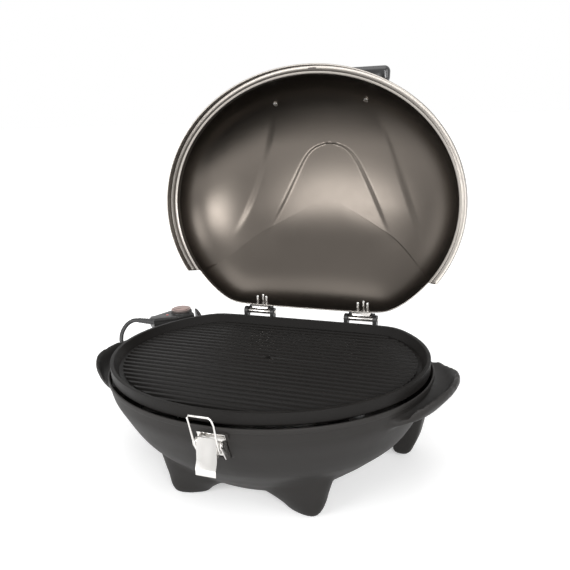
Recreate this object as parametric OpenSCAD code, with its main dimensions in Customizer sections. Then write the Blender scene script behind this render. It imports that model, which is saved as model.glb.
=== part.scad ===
// Electric indoor grill: an oval ribbed plate in a plastic housing, under a
// domed steel lid that hinges at the back. A plug-in thermostat with its own
// lead pushes into the plate's edge, and a wire bail latches the lid in front.
// Millimetres, +Z up. Every module draws in plate coordinates (X and Y zero at
// the plate's centre, Z zero on the table), and seat() moves the whole grill
// along Y so that the origin lies under the middle of its depth.

/* [Cooking plate] */
// Overall width of the plate
plate_w = 458; // [450:1:462]
// From the plate's centre to its front edge
plate_front = 192; // [189:0.5:193]
// From the plate's centre to its straight back edge
plate_back = 146; // [142:0.5:146.5]
// Height of the plate's rim above the table
rim_z = 183.5; // [180:0.5:188]
// Height of the plate's outer wall
plate_wall_h = 15; // [14:0.5:17]
// Depth of the cooking surface below the rim
plate_depth = 12; // [9:0.5:12.5]
// Width of the flat rim
plate_rim_w = 5; // [4:0.5:7]
// Run of the sloping inner wall
plate_slope_w = 6; // [4:0.5:9]
// Thickness of the plate's floor
plate_floor = 8.5; // [8:0.5:10]
// Distance from rib to rib
rib_pitch = 12; // [10:1:16]
// Height of a rib
rib_h = 3; // [2:0.5:4]
// Diameter of the drain hole
drain_d = 10; // [8:1:14]

/* [Heating element] */
// Diameter of the element's tube
element_d = 6.6; // [6:0.1:8]
// Radius of the element's bends
element_r = 75; // [65:1:85]
// Half of the element's straight length
element_run = 95; // [85:1:105]

/* [Housing] */
// Height of the dark gap between plate and housing
rim_gap = 3.3; // [2.8:0.1:3.5]
// How far the housing's lip stands outside the plate
lip_margin = 5.4; // [5:0.1:6]
// Height of the straight lip
lip_h = 6.5; // [5:0.5:8]
// Wall thickness of the housing
housing_wall = 2.6; // [2.4:0.1:3]
// Clearance under the belly
belly_z = 15; // [13:1:18]
// Furthest reach of each side handle from the middle
handle_reach = 268; // [264:1:272]
// Thickness of the handle's edge
handle_edge = 14; // [12:1:18]

/* [Lid] */
// Height of the dome above its flange
dome_h = 100; // [94:1:106]
// Thickness of the sheet
lid_sheet = 1.2; // [1:0.1:1.4]
// Gap between the plate and the dome inside
lid_clear = 3.3; // [3.2:0.1:3.6]
// Width of the flange
flange_w = 11; // [10:0.5:11.5]
// Height of the skirt that hangs from the flange
skirt_h = 13.4; // [11:0.2:14]
// Angle of the open lid from closed
open_angle = 98.5; // [90:0.5:98.5]
// Half of the distance between the lid handle's screws
handle_screw_x = 75; // [65:1:82]
// Half length of the lid handle
lid_handle_half = 107; // [100:1:115]
// Radius of the lid handle's grip
grip_r = 9; // [8:0.5:10]

/* [Hinges] */
// Distance of each hinge from the middle
hinge_x = 87.5; // [80:0.5:95]
// Distance of the hinge axis behind the plate's back edge
hinge_back = 27; // [26.5:0.5:29]
// Height of the hinge axis below the plate's rim
hinge_drop = 1.5; // [1:0.5:2]
// Diameter of the hinge pin
hinge_pin_d = 5; // [4:0.5:5.5]
// Radius of the hinge ears
ear_r = 7; // [6.5:0.5:7.5]
// Thickness of each ear
ear_t = 6; // [5:0.5:7]

/* [Latch] */
// Sideways place of the latch
latch_x = 12; // [0:1:14]
// Width of the lever
lever_w = 27; // [25:1:28]
// Thickness of the latch's steel sheet
latch_sheet = 1.2; // [1:0.1:1.3]
// Diameter of the bail's wire
bail_d = 2.5; // [2.2:0.1:2.8]
// Diameter of the lever's pivot pin
latch_pin_d = 3.6; // [3.2:0.1:4]

/* [Thermostat] */
// Bearing of the socket, seen from the plate's centre line
socket_angle = 141; // [139:1:143]
// Length of the thermostat's body along the plate
therm_len = 70; // [64:1:74]
// Width of the body away from the plate
therm_w = 40; // [36:1:44]
// Distance of the body from the plate's edge
therm_gap = 22; // [21:0.5:26]
// Diameter of the temperature dial
dial_d = 33; // [28:1:36]
// Diameter of a terminal pin
pin_d = 4; // [3.5:0.1:4.5]
// Diameter of the temperature probe
probe_d = 5; // [4.5:0.1:5.5]
// Depth to which the socket reaches below the plate's floor
socket_h = 12.5; // [12:0.5:13]

/* [Lead] */
// Diameter of the lead
cord_d = 7; // [6.5:0.1:7]
// Diameter of the coil at the middle of its turns
coil_d = 72; // [70:1:80]
// Width of the plug's body
plug_d = 36; // [32:1:38]

/* [Hidden] */
$fn = 48;

// Fits
fixed_fit = 0.02;      // a pin held in its bore, per side
running_fit = 0.05;    // a pin that turns or slides in its bore, per side
seat_gap = 0.3;        // two pieces that rest on each other without a fit
bite = 0.5;            // how far a moulded boss sinks into the wall that carries it

// Plate
outline_n = 96;
corner_soft = 5;
plate_a = plate_w / 2;
floor_top = rim_z - plate_depth;
floor_bottom = floor_top - plate_floor;
wall_bottom = rim_z - plate_wall_h;
floor_inset = 8;
element_z = floor_bottom - element_d / 2 - 0.05;
element_ends = [[-element_run - element_r, 0], [-element_run - 50, element_r]];
foot_h = 3;
pad_h = 4;
pad_top = floor_bottom - foot_h;
pad_r = 8;
pad_spots = [[0.7205 * plate_a, -0.5417 * plate_front], [0.7773 * plate_a, 0.3125 * plate_front]];

// Housing
house_a = plate_a + lip_margin - 0.4;
house_b = plate_front + lip_margin + 0.2;
house_c = plate_back + lip_margin + 0.4;
house_top = wall_bottom - rim_gap;
floor_wall = 3;
post_r = 7;
reflector_z = 96;
post_x = 110;
post_y = 70;
post_low = 20;
shelf_h = 8;
gusset_h = 24;

// Lid and hinges, in the closed position
flange_z = wall_bottom - 2.2;
skirt_z = flange_z - skirt_h;
dome_a = plate_a + lid_clear + lid_sheet;
dome_b = plate_front + lid_clear - 0.8 + lid_sheet;
dome_c = plate_back + hinge_back - ear_r - 4;
dome_base = flange_z + lid_sheet;
back_edge_z = flange_z + 2.2;
notch_y = 108.5;
dome_mid_y = -15;
dome_power = 2.2;
hinge_y = plate_back + hinge_back;
hinge_z = rim_z - hinge_drop;
ear_x = 20.5;
knuckle_r = hinge_pin_d / 2 + 2;
leaf_t = 2.2;
leaf_top = hinge_z + 17;
leaf_half = 17;
screw_rise = 36.9;
screw_back = hinge_y + 0.8176 * dome_b;
grip_y = -(dome_b + 6.3);
grip_z = hinge_z + 54;

// Legs
front_leg_x = 0.3493 * plate_a;
front_leg_y = -0.5 * plate_front;
back_leg_x = 0.76 * plate_a;
back_leg_y = 0.52 * plate_front;

// Latch
pivot_y = -(house_b + 7.4);
pivot_z = skirt_z - 4.9;
bail_drop = 11;
bail_y = pivot_y - 1.5;
bail_z = pivot_z - bail_drop;
facet_top = [-house_b + 0.4, house_top - 6.2];
facet_low = [-house_b + 14.2, house_top - 46.2];
bail_front = -house_b - 22.9;

// Thermostat: local X points away from the plate, local Y runs towards its lead
socket_k = 1 / sqrt(pow(plate_a * cos(socket_angle), 2) + pow(plate_front * sin(socket_angle), 2));
socket_pos = [plate_a * plate_a * cos(socket_angle) * socket_k,
              plate_front * plate_front * sin(socket_angle) * socket_k];
snout_low = -21.5;
snout_high = -3;
snout_mid = (snout_low + snout_high) / 2;
pin_spread = 6.4;
contact_z = floor_bottom - socket_h / 2;
snout_h = socket_h;
body_z = rim_z - 19.5;
body_seam = body_z + 11;
body_top = body_z + 19.5;
body_low_y = -21.6;
body_high_y = body_low_y + therm_len;
dial_x = therm_gap + therm_w / 2 + 1;
dial_y = body_low_y + dial_d / 2;
dial_h = 4.5;
shaft_d = 6;
lens_x = therm_gap + therm_w / 2;
lens_y = dial_y + dial_d / 2 + 9;
guard_angle = 132;
guard_t = 3;

// Lead: from the strain relief to the coil, then from the coil to the plug
relief_len = 33;
relief_d = 11;
coil_c = [-100, 262];
coil_low = cord_d / 2 + 1;
coil_in = coil_d / 2 - cord_d / 2;
coil_out = coil_d / 2 + cord_d / 2;
cord_start = [-279, 98, 175];
cord_route = [cord_start, [-290, 97, 174], [-300, 92, 168], [-305, 84, 158], [-305, 77, 146],
              [-301, 75, 131], [-293, 80, 111], [-283, 90, 88], [-272, 104, 65], [-259, 120, 43],
              [-243, 137, 25], [-224, 152, 12], [-202, 164, 5.5], [-178, 173, 4], [-155, 183, 4],
              [-132, 196, 4], [-106, 212, 4.5], [-79, 229, 4.5]];
tail_route = [[-100, 230, 19], [-84, 230, 21.5], [-68, 230, 25], [-52, 230, 25], [-38, 230, 21.5],
              [-26, 230, 18.5], [-16, 230, 18]];
plug_len = 34;
plug_pin_d = 4.8;
plug_pin_gap = 19;

// The grill stands with its origin under the middle of its depth
open_sin = sin(open_angle);
open_cos = cos(open_angle);
rear_y = hinge_y + (grip_y - hinge_y) * open_cos + (grip_z - hinge_z) * open_sin + grip_r;
front_y = bail_front - bail_d / 2;
shift_y = -(front_y + rear_y) / 2;

// ---------------------------------------------------------------- functions

// The common outline: an oval whose back is cut straight by a soft minimum
function soft_min(u, c) = (u + c - sqrt(pow(u - c, 2) + 4 * corner_soft * corner_soft)) / 2;
function oval(a, b, c, n = outline_n) =
    [for (i = [0 : n - 1]) [a * cos(360 * i / n), soft_min(b * sin(360 * i / n), c)]];
function raise(points, z) = [for (p = points) [p.x, p.y, z]];
function plate_oval(inset) = oval(plate_a - inset, plate_front - inset, plate_back - inset);
function house_oval(s, inset = 0, n = outline_n) =
    oval(house_a * s - inset, house_b * s - inset, house_c * s - inset, n);

// The housing's section: [share of the lip's outline, share of the housing's height]
house_profile = [[0.46, 0.091], [0.51, 0.121], [0.577, 0.182], [0.63, 0.242], [0.69, 0.306],
                 [0.742, 0.371], [0.79, 0.428], [0.835, 0.487], [0.872, 0.557], [0.905, 0.636],
                 [0.932, 0.708], [0.96, 0.781], [0.98, 0.84], [0.988, 0.893]];

// Share of the dome's outline that is left at height h above its foot
function dome_share(h) = sqrt(1 - pow(max(0, min(h, dome_h * 0.999)) / dome_h, dome_power));
function dome_back(z) = dome_mid_y + (dome_c - dome_mid_y) * dome_share(z - dome_base);

// Half the closed lid's width over its skirt at y, and a step that starts and ends level
function lid_reach(y) = (dome_a + flange_w) * sqrt(1 - pow(y / (dome_b + flange_w), 2));
function smooth(t) = let (k = max(0, min(1, t))) k * k * (3 - 2 * k);

function cross3(a, b) = [a.y * b.z - a.z * b.y, a.z * b.x - a.x * b.z, a.x * b.y - a.y * b.x];
function unit(v) = v / norm(v);

// ------------------------------------------------------------------ helpers

module seat() {
    translate([0, shift_y, 0]) children();
}

module lid_place() {
    seat() translate([0, hinge_y, hinge_z]) rotate([-open_angle, 0, 0])
        translate([0, -hinge_y, -hinge_z]) children();
}

module socket_place() {
    seat() translate([socket_pos.x, socket_pos.y, 0]) rotate([0, 0, socket_angle]) children();
}

// A closed body through rings of equal count, each ring a list of 3D points
module skin(rings) {
    n = len(rings[0]);
    m = len(rings);
    points = [for (ring = rings) for (p = ring) p];
    sides = [for (j = [0 : m - 2]) for (i = [0 : n - 1])
             let (k = (i + 1) % n, a = j * n, b = (j + 1) * n)
             each [[a + i, b + i, b + k], [a + i, b + k, a + k]]];
    polyhedron(points,
               concat([[for (i = [0 : n - 1]) i]], sides,
                      [[for (i = [n - 1 : -1 : 0]) (m - 1) * n + i]]));
}

// A round bar from p to q
module bar(p, q, r) {
    v = q - p;
    translate(p) rotate([0, acos(v.z / norm(v)), atan2(v.y, v.x)]) cylinder(h = norm(v), r = r);
}

// A flat sheet from its outline in Y and Z, w wide about x
module side_sheet(points, x, w) {
    translate([x - w / 2, 0, 0]) rotate([90, 0, 90]) linear_extrude(w) polygon(points);
}

module prism(points, z0, z1) {
    translate([0, 0, z0]) linear_extrude(z1 - z0) polygon(points);
}

module rod_x(y, z, r, x0, x1) {
    translate([x0, y, z]) rotate([0, 90, 0]) cylinder(h = x1 - x0, r = r);
}

module rod_y(x, z, r, y0, y1) {
    translate([x, y0, z]) rotate([-90, 0, 0]) cylinder(h = y1 - y0, r = r);
}

// ------------------------------------------------------------- base housing

house_n = 64;
function house_ring(s, inset, z) = raise(house_oval(s, inset, house_n), z);

// The bowl as one solid, still full
module bowl() {
    skin(concat([for (p = house_profile) house_ring(p[0], 0, p[1] * house_top)],
                [house_ring(0.99, 0, house_top - lip_h - 1.2),
                 house_ring(1, 0, house_top - lip_h),
                 house_ring(1, 0, house_top - 0.6), house_ring(1, 0.6, house_top)]));
}

// The hollow inside it. With grow above zero it reaches that far into the wall.
module bowl_hollow(grow = 0) {
    wall = housing_wall - grow;
    base = floor_wall - grow;
    skin(concat([for (p = house_profile)
                 house_ring(p[0], wall, p[1] * house_top + base * (1 - p[1]))],
                [house_ring(1, wall, house_top - lip_h), house_ring(1, wall, house_top + 1)]));
}

// One side handle: a scooped lobe whose outer edge stands up, outside the closed
// lid's skirt. Each ring is the section at one y; at both ends it sinks below the skirt.
module side_handle() {
    y0 = -96;
    y1 = 72;
    steps = 22;
    scoop = skirt_z - 4.4;
    rings = [for (i = [0 : steps])
             let (s = sin(180 * i / steps - 90),
                  y = (y0 + y1) / 2 + s * (y1 - y0) / 2,
                  wall = house_a * sqrt(1 - pow(y / house_b, 2)),
                  out = wall + (handle_reach - house_a)
                        * pow(max(0, 1 - pow(abs(s), s > 0 ? 5 : 3)), s > 0 ? 0.5 : 0.6),
                  clear = lid_reach(y) + 3,
                  start = min(clear, out - 5),
                  run = out - start,
                  top = scoop + (house_top + 2 + 8 * s - scoop) * smooth((out - clear - 4) / 8),
                  low = max(top - handle_edge, scoop - 7),
                  root = 0.95 * wall,
                  tuck = min(scoop - 5, low - 0.4))
             [[root, y, scoop - 1], [start, y, scoop],
              [start + 0.1 * run, y, scoop + 0.5 * (top - scoop)],
              [start + 0.22 * run, y, scoop + 0.93 * (top - scoop)],
              [start + 0.38 * run, y, top], [out - 2.2, y, top - 0.3], [out - 0.6, y, top - 1.8],
              [out, y, top - 4], [out, y, low + 2.5], [out - 1.4, y, low],
              [max(start + 0.3 * run, 0.99 * wall + 0.3), y, tuck], [0.99 * wall, y, scoop - 9.5],
              [root, y, scoop - 11.5]]];
    skin(rings);
}

// A front leg: a small foot that spreads in a soft ramp into the bowl. Each ring is
// [height, x from, x to, y from, y to, turn] in the leg's own directions.
module front_leg() {
    rings = [[0, -20, 28, -10, 11, -20], [2, -22, 30, -12, 13, -20], [7, -25, 33, -14.5, 17, -19],
             [15, -38, 36, -18, 23, -15], [26, -56, 38, -22, 28, -8], [42, -60, 43, -26, 30, 0],
             [62, -60, 50, -29, 32, 8], [92, -50, 56, -28, 33, 15]];
    skin([for (r = rings)
          [for (i = [0 : 19])
           let (a = 360 * (i + 0.5) / 20, c = cos(a), d = sin(a),
                x = (r[1] + r[2]) / 2 + (r[2] - r[1]) / 2 * sign(c) * pow(abs(c), 0.8),
                y = (r[3] + r[4]) / 2 + (r[4] - r[3]) / 2 * sign(d) * pow(abs(d), 0.8))
           [x * cos(r[5]) - y * sin(r[5]), x * sin(r[5]) + y * cos(r[5]), r[0]]]]);
}

module foot_shape(l, w, r) {
    for (x = [-1, 1]) for (y = [-1, 1])
        translate([x * (l / 2 - r), y * (w / 2 - r)]) circle(r, $fn = 24);
    square([l - 2 * r, w], center = true);
    square([l, w - 2 * r], center = true);
}

// A back leg: an upright tab that tucks under the handle
module back_leg() {
    translate([back_leg_x, back_leg_y, 0]) hull() {
        linear_extrude(0.5) foot_shape(16, 30, 6);
        translate([0.5, 0, 5]) linear_extrude(1) foot_shape(27, 42, 7);
        translate([5.5, 0, 29]) linear_extrude(1) foot_shape(38, 48, 7);
        translate([9, 0, 85]) linear_extrude(1) foot_shape(56, 50, 8);
        translate([4, 0, 128]) linear_extrude(1) foot_shape(50, 50, 8);
    }
}

module base_housing() {
    color("#3a3836") seat() difference() {
        union() {
            bowl();
            for (m = [0, 1]) mirror([m, 0, 0]) {
                side_handle();
                translate([front_leg_x, front_leg_y, 0]) front_leg();
                back_leg();
            }
        }
        difference() {
            bowl_hollow();
            side_sheet([[facet_top.x - 9, facet_top.y + 2], [facet_top.x - 9, facet_low.y - 7],
                        [facet_low.x + 5, facet_low.y - 7], [facet_top.x + 15, facet_top.y + 2]],
                       latch_x, 46);
        }
        side_sheet([facet_top, facet_low, [facet_low.x - 30, facet_low.y],
                    [facet_top.x - 30, facet_top.y]], latch_x, 39);
        at_socket() translate([-8, snout_low - 2, contact_z - socket_h / 2 - 2]) cube([18, 22.5, 30]);
    }
}

// Shelves on the inside of the wall that carry the plate's pads, each on a gusset
module plate_supports() {
    shelf_z = pad_top - pad_h - shelf_h;
    color("#3a3836") seat() intersection() {
        bowl_hollow(bite);
        for (p = pad_spots) for (m = [0, 1]) mirror([m, 0, 0]) {
            translate([p.x - pad_r - 1, p.y - pad_r - 1, shelf_z]) cube([90, 2 * pad_r + 2, shelf_h]);
            translate([p.x + 10, p.y - 2, shelf_z - gusset_h]) cube([80, 4, gusset_h + 1]);
        }
    }
}

module reflector_posts() {
    color("#3a3836") seat() intersection() {
        bowl_hollow(bite);
        for (x = [-post_x, post_x]) for (y = [-post_y, post_y])
            translate([x, y, post_low]) cylinder(h = reflector_z - post_low, r = post_r);
    }
}

module at_socket() {
    translate([socket_pos.x, socket_pos.y, 0]) rotate([0, 0, socket_angle]) children();
}

module plate_pads() {
    color("#2a2a2a") seat() for (p = pad_spots) for (s = [-1, 1])
        translate([s * p.x, p.y, pad_top - pad_h]) cylinder(h = pad_h, r = pad_r);
}

// ---------------------------------------------- heat reflector and drip tray

module reflector_outline(inset) {
    polygon(house_oval(0.84, inset));
}

module heat_reflector() {
    color("#c9c9c6") seat() difference() {
        translate([0, 0, reflector_z]) linear_extrude(7) reflector_outline(0);
        translate([0, 0, reflector_z + 1]) linear_extrude(7) reflector_outline(1);
        for (x = [-post_x, post_x]) for (y = [-post_y, post_y])
            translate([x, y, reflector_z - 1]) cylinder(h = 3, r = 2.1);
    }
}

module reflector_screws() {
    color("#b9b9b6") seat() for (x = [-post_x, post_x]) for (y = [-post_y, post_y])
        translate([x, y, reflector_z + 1]) {
            cylinder(h = 2.4, r = 4);
            translate([0, 0, -9]) cylinder(h = 10, r = 2);
        }
}

module drip_tray() {
    a = 96;
    b = 60;
    h = 16;
    color("#a9a9a6") seat() translate([0, 0, reflector_z + 1]) difference() {
        linear_extrude(h) polygon(oval(a, b, b));
        translate([0, 0, 1.2]) linear_extrude(h) polygon(oval(a - 1.2, b - 1.2, b - 1.2));
    }
}

// ------------------------------------------------------------------- hinges

// The black bracket behind the housing: a foot, two ears and the lid's stop
module hinge_bracket(side) {
    x = side * hinge_x;
    foot_y = house_c + 0.1;
    color("#232221") seat() difference() {
        union() {
            side_sheet([[foot_y, house_top - 2], [foot_y, house_top - lip_h],
                        [foot_y - 0.012 * house_c, house_top - lip_h - 3],
                        [foot_y - 0.014 * house_c, house_top - 22],
                        [foot_y + 3, house_top - 22], [foot_y + 3, house_top - 2]],
                       x, 2 * (ear_x + ear_t));
            for (s = [-1, 1]) {
                side_sheet([[foot_y, house_top - 2.5], [foot_y, house_top - 22],
                            [foot_y + 7, house_top - 22],
                            [hinge_y + ear_r, hinge_z - 3], [hinge_y + ear_r, hinge_z],
                            [hinge_y - ear_r, hinge_z], [hinge_y - ear_r, hinge_z - 9],
                            [hinge_y - ear_r - 3, back_edge_z - 3]],
                           x + s * (ear_x + ear_t / 2), ear_t);
                rod_x(hinge_y, hinge_z, ear_r, x + s * (ear_x + ear_t / 2) - ear_t / 2,
                      x + s * (ear_x + ear_t / 2) + ear_t / 2);
            }
            side_sheet([[hinge_y + knuckle_r + 0.7, hinge_z - 5], [hinge_y + ear_r + 1, hinge_z - 5],
                        [hinge_y + ear_r + 1, hinge_z + 7.5], [hinge_y + knuckle_r + 0.7, hinge_z + 7.5]],
                       x, 2 * ear_x + 2);
        }
        rod_x(hinge_y, hinge_z, hinge_pin_d / 2 + fixed_fit, x - 40, x + 40);
        for (s = [-1, 1]) rod_y(x + s * 11, house_top - 14, 2.1, foot_y - 5, foot_y + 5);
    }
}

module hinge_bracket_left() {
    hinge_bracket(-1);
}

module hinge_bracket_right() {
    hinge_bracket(1);
}

module hinge_pins() {
    reach = ear_x + ear_t + 0.8;
    color("#c8c8c8") seat() for (x = [-hinge_x, hinge_x]) {
        rod_x(hinge_y, hinge_z, hinge_pin_d / 2, x - reach, x + reach);
        for (s = [-1, 1])
            rod_x(hinge_y, hinge_z, hinge_pin_d / 2 + 1.2,
                  x + s * (reach + 0.4) - 0.4, x + s * (reach + 0.4) + 0.4);
    }
}

module bracket_screws() {
    color("#8f8f8c") seat() for (x = [-hinge_x, hinge_x]) for (s = [-1, 1]) {
        rod_y(x + s * 11, house_top - 14, 4, house_c + 3.1, house_c + 5.5);
        rod_y(x + s * 11, house_top - 14, 2, house_c - 9, house_c + 4);
    }
}

// One steel leaf on the lid: a knuckle, a tapering arm and a plate on the wall
module hinge_leaf(side) {
    x = side * hinge_x;
    wall_z = [hinge_z - leaf_t / 2, hinge_z + 5, hinge_z + 10, hinge_z + 14, leaf_top];
    front = [for (z = wall_z) [dome_back(z) + 0.1, z]];
    back = [for (i = [len(wall_z) - 1 : -1 : 0]) [dome_back(wall_z[i]) + 0.1 + leaf_t, wall_z[i]]];
    color("#c8c8c8") lid_place() difference() {
        union() {
            rod_x(hinge_y, hinge_z, knuckle_r, x - ear_x + seat_gap, x + ear_x - seat_gap);
            prism([[x - 11, hinge_y], [x + 11, hinge_y], [x + leaf_half, dome_back(hinge_z) + 1],
                   [x - leaf_half, dome_back(hinge_z) + 1]], hinge_z - leaf_t / 2, hinge_z + leaf_t / 2);
            side_sheet(concat(front, back), x, 2 * leaf_half);
        }
        rod_x(hinge_y, hinge_z, hinge_pin_d / 2 + running_fit, x - 40, x + 40);
    }
}

module hinge_leaf_left() {
    hinge_leaf(-1);
}

module hinge_leaf_right() {
    hinge_leaf(1);
}

// Three studs with cap nuts hold each leaf; the nuts stand inside the dome
module leaf_screws() {
    color("#d2d2d2") lid_place() for (x = [-hinge_x, hinge_x])
        for (p = [[-8, 8], [8, 8], [0, 13]]) {
            z = hinge_z + p[1];
            wall = dome_back(z) - lid_sheet;
            rod_y(x + p[0], z, 2.2, wall - 7.5, wall + 0.4);
            translate([x + p[0], wall - 7.5, z]) sphere(2.2);
            rod_y(x + p[0], z, 1.5, wall, wall + lid_sheet + leaf_t + 1);
            rod_y(x + p[0], z, 3, wall + lid_sheet + leaf_t + 0.1, wall + lid_sheet + leaf_t + 1.9);
        }
}

// ---------------------------------------------------------------------- lid

// One ring of the lid's sheet. The front part, ahead of the notches, lies at
// offset front_off and height front_z; the back part at back_off and back_z.
function lid_ring(front_off, front_z, back_off, back_z) =
    let (fa = dome_a + front_off, fb = dome_b + front_off,
         ba = dome_a + back_off, bb = dome_b + back_off, bc = dome_c + back_off,
         tf = asin(notch_y / fb), tb = asin((notch_y + 0.8) / bb), nb = 24, nf = 48)
    concat([for (i = [0 : nb]) let (t = tb + (180 - 2 * tb) * i / nb)
            [ba * cos(t), soft_min(bb * sin(t), bc), back_z]],
           [for (i = [0 : nf]) let (t = 180 - tf + (180 + 2 * tf) * i / nf)
            [fa * cos(t), fb * sin(t), front_z]]);

// A ring of the dome, inset by the sheet for its inner face
function dome_ring(h, inset) =
    let (s = dome_share(h), base = lid_ring(-inset, 0, -inset, 0))
    [for (p = base) [p.x * s, dome_mid_y + (p.y - dome_mid_y) * s, dome_base + h - inset * (1 - s)]];

dome_angles = [12, 24, 36, 46, 55, 63, 70, 76, 81, 85, 88];

module lid_shell() {
    outer = [for (a = dome_angles) dome_ring(dome_h * sin(a) * sin(a), 0)];
    inner = [for (i = [len(dome_angles) - 1 : -1 : 0])
             dome_ring(dome_h * sin(dome_angles[i]) * sin(dome_angles[i]), lid_sheet)];
    edge_z = back_edge_z;
    lip = [lid_ring(-lid_sheet, flange_z, -lid_sheet, edge_z + 0.3),
           lid_ring(flange_w - lid_sheet, flange_z, -lid_sheet, edge_z + 0.15),
           lid_ring(flange_w - lid_sheet, skirt_z, -lid_sheet, edge_z),
           lid_ring(flange_w, skirt_z, 0, edge_z),
           lid_ring(flange_w, flange_z + 0.2, 0, edge_z + 0.15),
           lid_ring(flange_w - 1, flange_z + lid_sheet, 0, edge_z + 0.3),
           lid_ring(0.6, flange_z + lid_sheet, 0, edge_z + 0.45)];
    color("#8a8580") lid_place() skin(concat(inner, lip, outer));
}

module lid_handle() {
    foot_z = hinge_z + screw_rise;
    color("#1d1c1c") lid_place() difference() {
        union() {
        hull() for (s = [-1, 1]) {
            translate([s * (lid_handle_half - grip_r), grip_y, grip_z]) sphere(grip_r, $fn = 32);
            translate([s * (lid_handle_half - 7), grip_y + 9, grip_z - 1]) sphere(7, $fn = 32);
        }
        for (s = [-1, 1]) hull() {
            translate([s * handle_screw_x, grip_y + 3, grip_z - 1]) sphere(7.5, $fn = 32);
            translate([s * handle_screw_x, hinge_y - screw_back - 1, foot_z]) rotate([55, 0, 0])
                cylinder(h = 3, r = 9, $fn = 32);
        }
        }
        skin([for (a = dome_angles) dome_ring(dome_h * sin(a) * sin(a), -0.03)]);
    }
}

module lid_handle_screws() {
    color("#c8c8c8") lid_place() for (s = [-1, 1])
        translate([s * handle_screw_x, hinge_y - screw_back, hinge_z + screw_rise]) rotate([46, 0, 0]) {
            translate([0, 0, -2.1]) cylinder(h = 2.2, r = 3.6);
            translate([0, 0, -1]) cylinder(h = 11, r = 2);
        }
}

// -------------------------------------------------------------------- latch

module latch_bracket() {
    slope = unit([facet_low.x - facet_top.x, facet_low.y - facet_top.y]);
    out = [slope.y, -slope.x];
    a = facet_top + 2 * slope + 0.02 * out;
    b = facet_low - 3 * slope + 0.02 * out;
    color("#d0d0d0") seat() difference() {
        union() {
            side_sheet([a, b, b + 1.5 * out, a + 1.5 * out], latch_x, 37.4);
            for (s = [-1, 1])
                side_sheet([a + 8 * slope, b, b + 1.5 * out, [b.x - 14, b.y + 3],
                            [pivot_y - 4, pivot_z - 3], [pivot_y - 4, pivot_z + 2.4],
                            [pivot_y - 2, pivot_z + 3.4], [pivot_y + 3, pivot_z + 3.4]],
                           latch_x + s * 18, 1.4);
        }
        rod_x(pivot_y, pivot_z, latch_pin_d / 2 + fixed_fit, latch_x - 30, latch_x + 30);
    }
}

module latch_rivets() {
    slope = unit([facet_low.x - facet_top.x, facet_low.y - facet_top.y]);
    tilt = atan2(-slope.x, -slope.y);
    mid = (facet_top + facet_low) / 2;
    color("#bdbdbd") seat() for (s = [-1, 1]) for (d = [-6, 11])
        translate([latch_x + s * 8, mid.x + d * slope.x, mid.y + d * slope.y]) rotate([90 + tilt, 0, 0]) {
            translate([0, 0, -3]) cylinder(h = 4, r = 1.6);
            translate([0, 0, 1.5]) cylinder(h = 1, r = 3);
        }
}

module latch_pin() {
    color("#c0c0c0") seat() {
        rod_x(pivot_y, pivot_z, latch_pin_d / 2, latch_x - 19, latch_x + 19);
        for (s = [-1, 1])
            rod_x(pivot_y, pivot_z, latch_pin_d / 2 + 1,
                  latch_x + s * 19.3 - 0.5, latch_x + s * 19.3 + 0.5);
    }
}

// The pull lever: a pressed plate with two cheeks and a lip turned outwards
module latch_lever() {
    face = [[pivot_y - 3.6, pivot_z + 8], [pivot_y - 8, pivot_z - 21], [pivot_y - 12.6, pivot_z - 29],
            [pivot_y - 13.2, pivot_z - 38]];
    skin_back = [for (i = [3 : -1 : 0]) face[i] + [latch_sheet, 0.2]];
    color("#e2e2e0") seat() difference() {
        union() {
            side_sheet(concat(face, skin_back), latch_x, lever_w);
            for (s = [-1, 1])
                side_sheet([face[0] + [0.6, -0.5], [pivot_y - 2.6, pivot_z + 7],
                            [pivot_y - 2.4, pivot_z + 3.6], [pivot_y + 3, pivot_z + 3.2],
                            [pivot_y + 3, pivot_z - 3], [bail_y + 3, bail_z - 3.4],
                            [pivot_y - 6.6, pivot_z - 18]],
                           latch_x + s * (lever_w - latch_sheet) / 2, latch_sheet);
        }
        rod_x(pivot_y, pivot_z, latch_pin_d / 2 + running_fit, latch_x - 30, latch_x + 30);
        rod_x(bail_y, bail_z, bail_d / 2 + running_fit, latch_x - 30, latch_x + 30);
    }
}

// The wire bail: two feet turned into the lever's cheeks, two legs and a bar
module latch_bail() {
    r = bail_d / 2;
    foot_x = lever_w / 2 + r + 0.5;
    half = [[foot_x - r - 2.2, bail_y, bail_z], [foot_x, bail_y, bail_z],
            [foot_x + 0.6, bail_y - 5.6, bail_z + 18], [foot_x + 1, bail_front + 4, bail_z + 41],
            [foot_x + 0.4, bail_front + 1, bail_z + 49], [foot_x - 2, bail_front, bail_z + 52.5]];
    loop = concat([for (i = [1 : len(half) - 1]) half[i]],
                  [for (i = [len(half) - 1 : -1 : 1]) [-half[i].x, half[i].y, half[i].z]]);
    color("#dcdcda") seat() translate([latch_x, 0, 0]) {
        tube(loop, r);
        for (s = [-1, 1])
            translate([s * (half[0].x + foot_x + 0.4) / 2, bail_y, bail_z]) rotate([0, 90, 0])
                cylinder(h = foot_x + 0.4 - half[0].x, r = r, center = true);
    }
}

// -------------------------------------------------------------------- plate

// Ribs across the plate, as one comb that the floor's outline trims
module rib_comb() {
    foot = rib_pitch * 0.3;
    crest = rib_pitch * 0.19;
    rows = floor(plate_front / rib_pitch);
    points = [for (i = [-rows : rows]) let (y = (i + 0.5) * rib_pitch)
              each [[y - foot, floor_top], [y - crest, floor_top + rib_h],
                    [y + crest, floor_top + rib_h], [y + foot, floor_top]]];
    first = [-plate_front - rib_pitch, floor_top - 2];
    last = [plate_front + 2 * rib_pitch, floor_top - 2];
    translate([-plate_a, 0, 0]) rotate([90, 0, 90]) linear_extrude(plate_w)
        polygon(concat([first], points, [last]));
}

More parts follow.
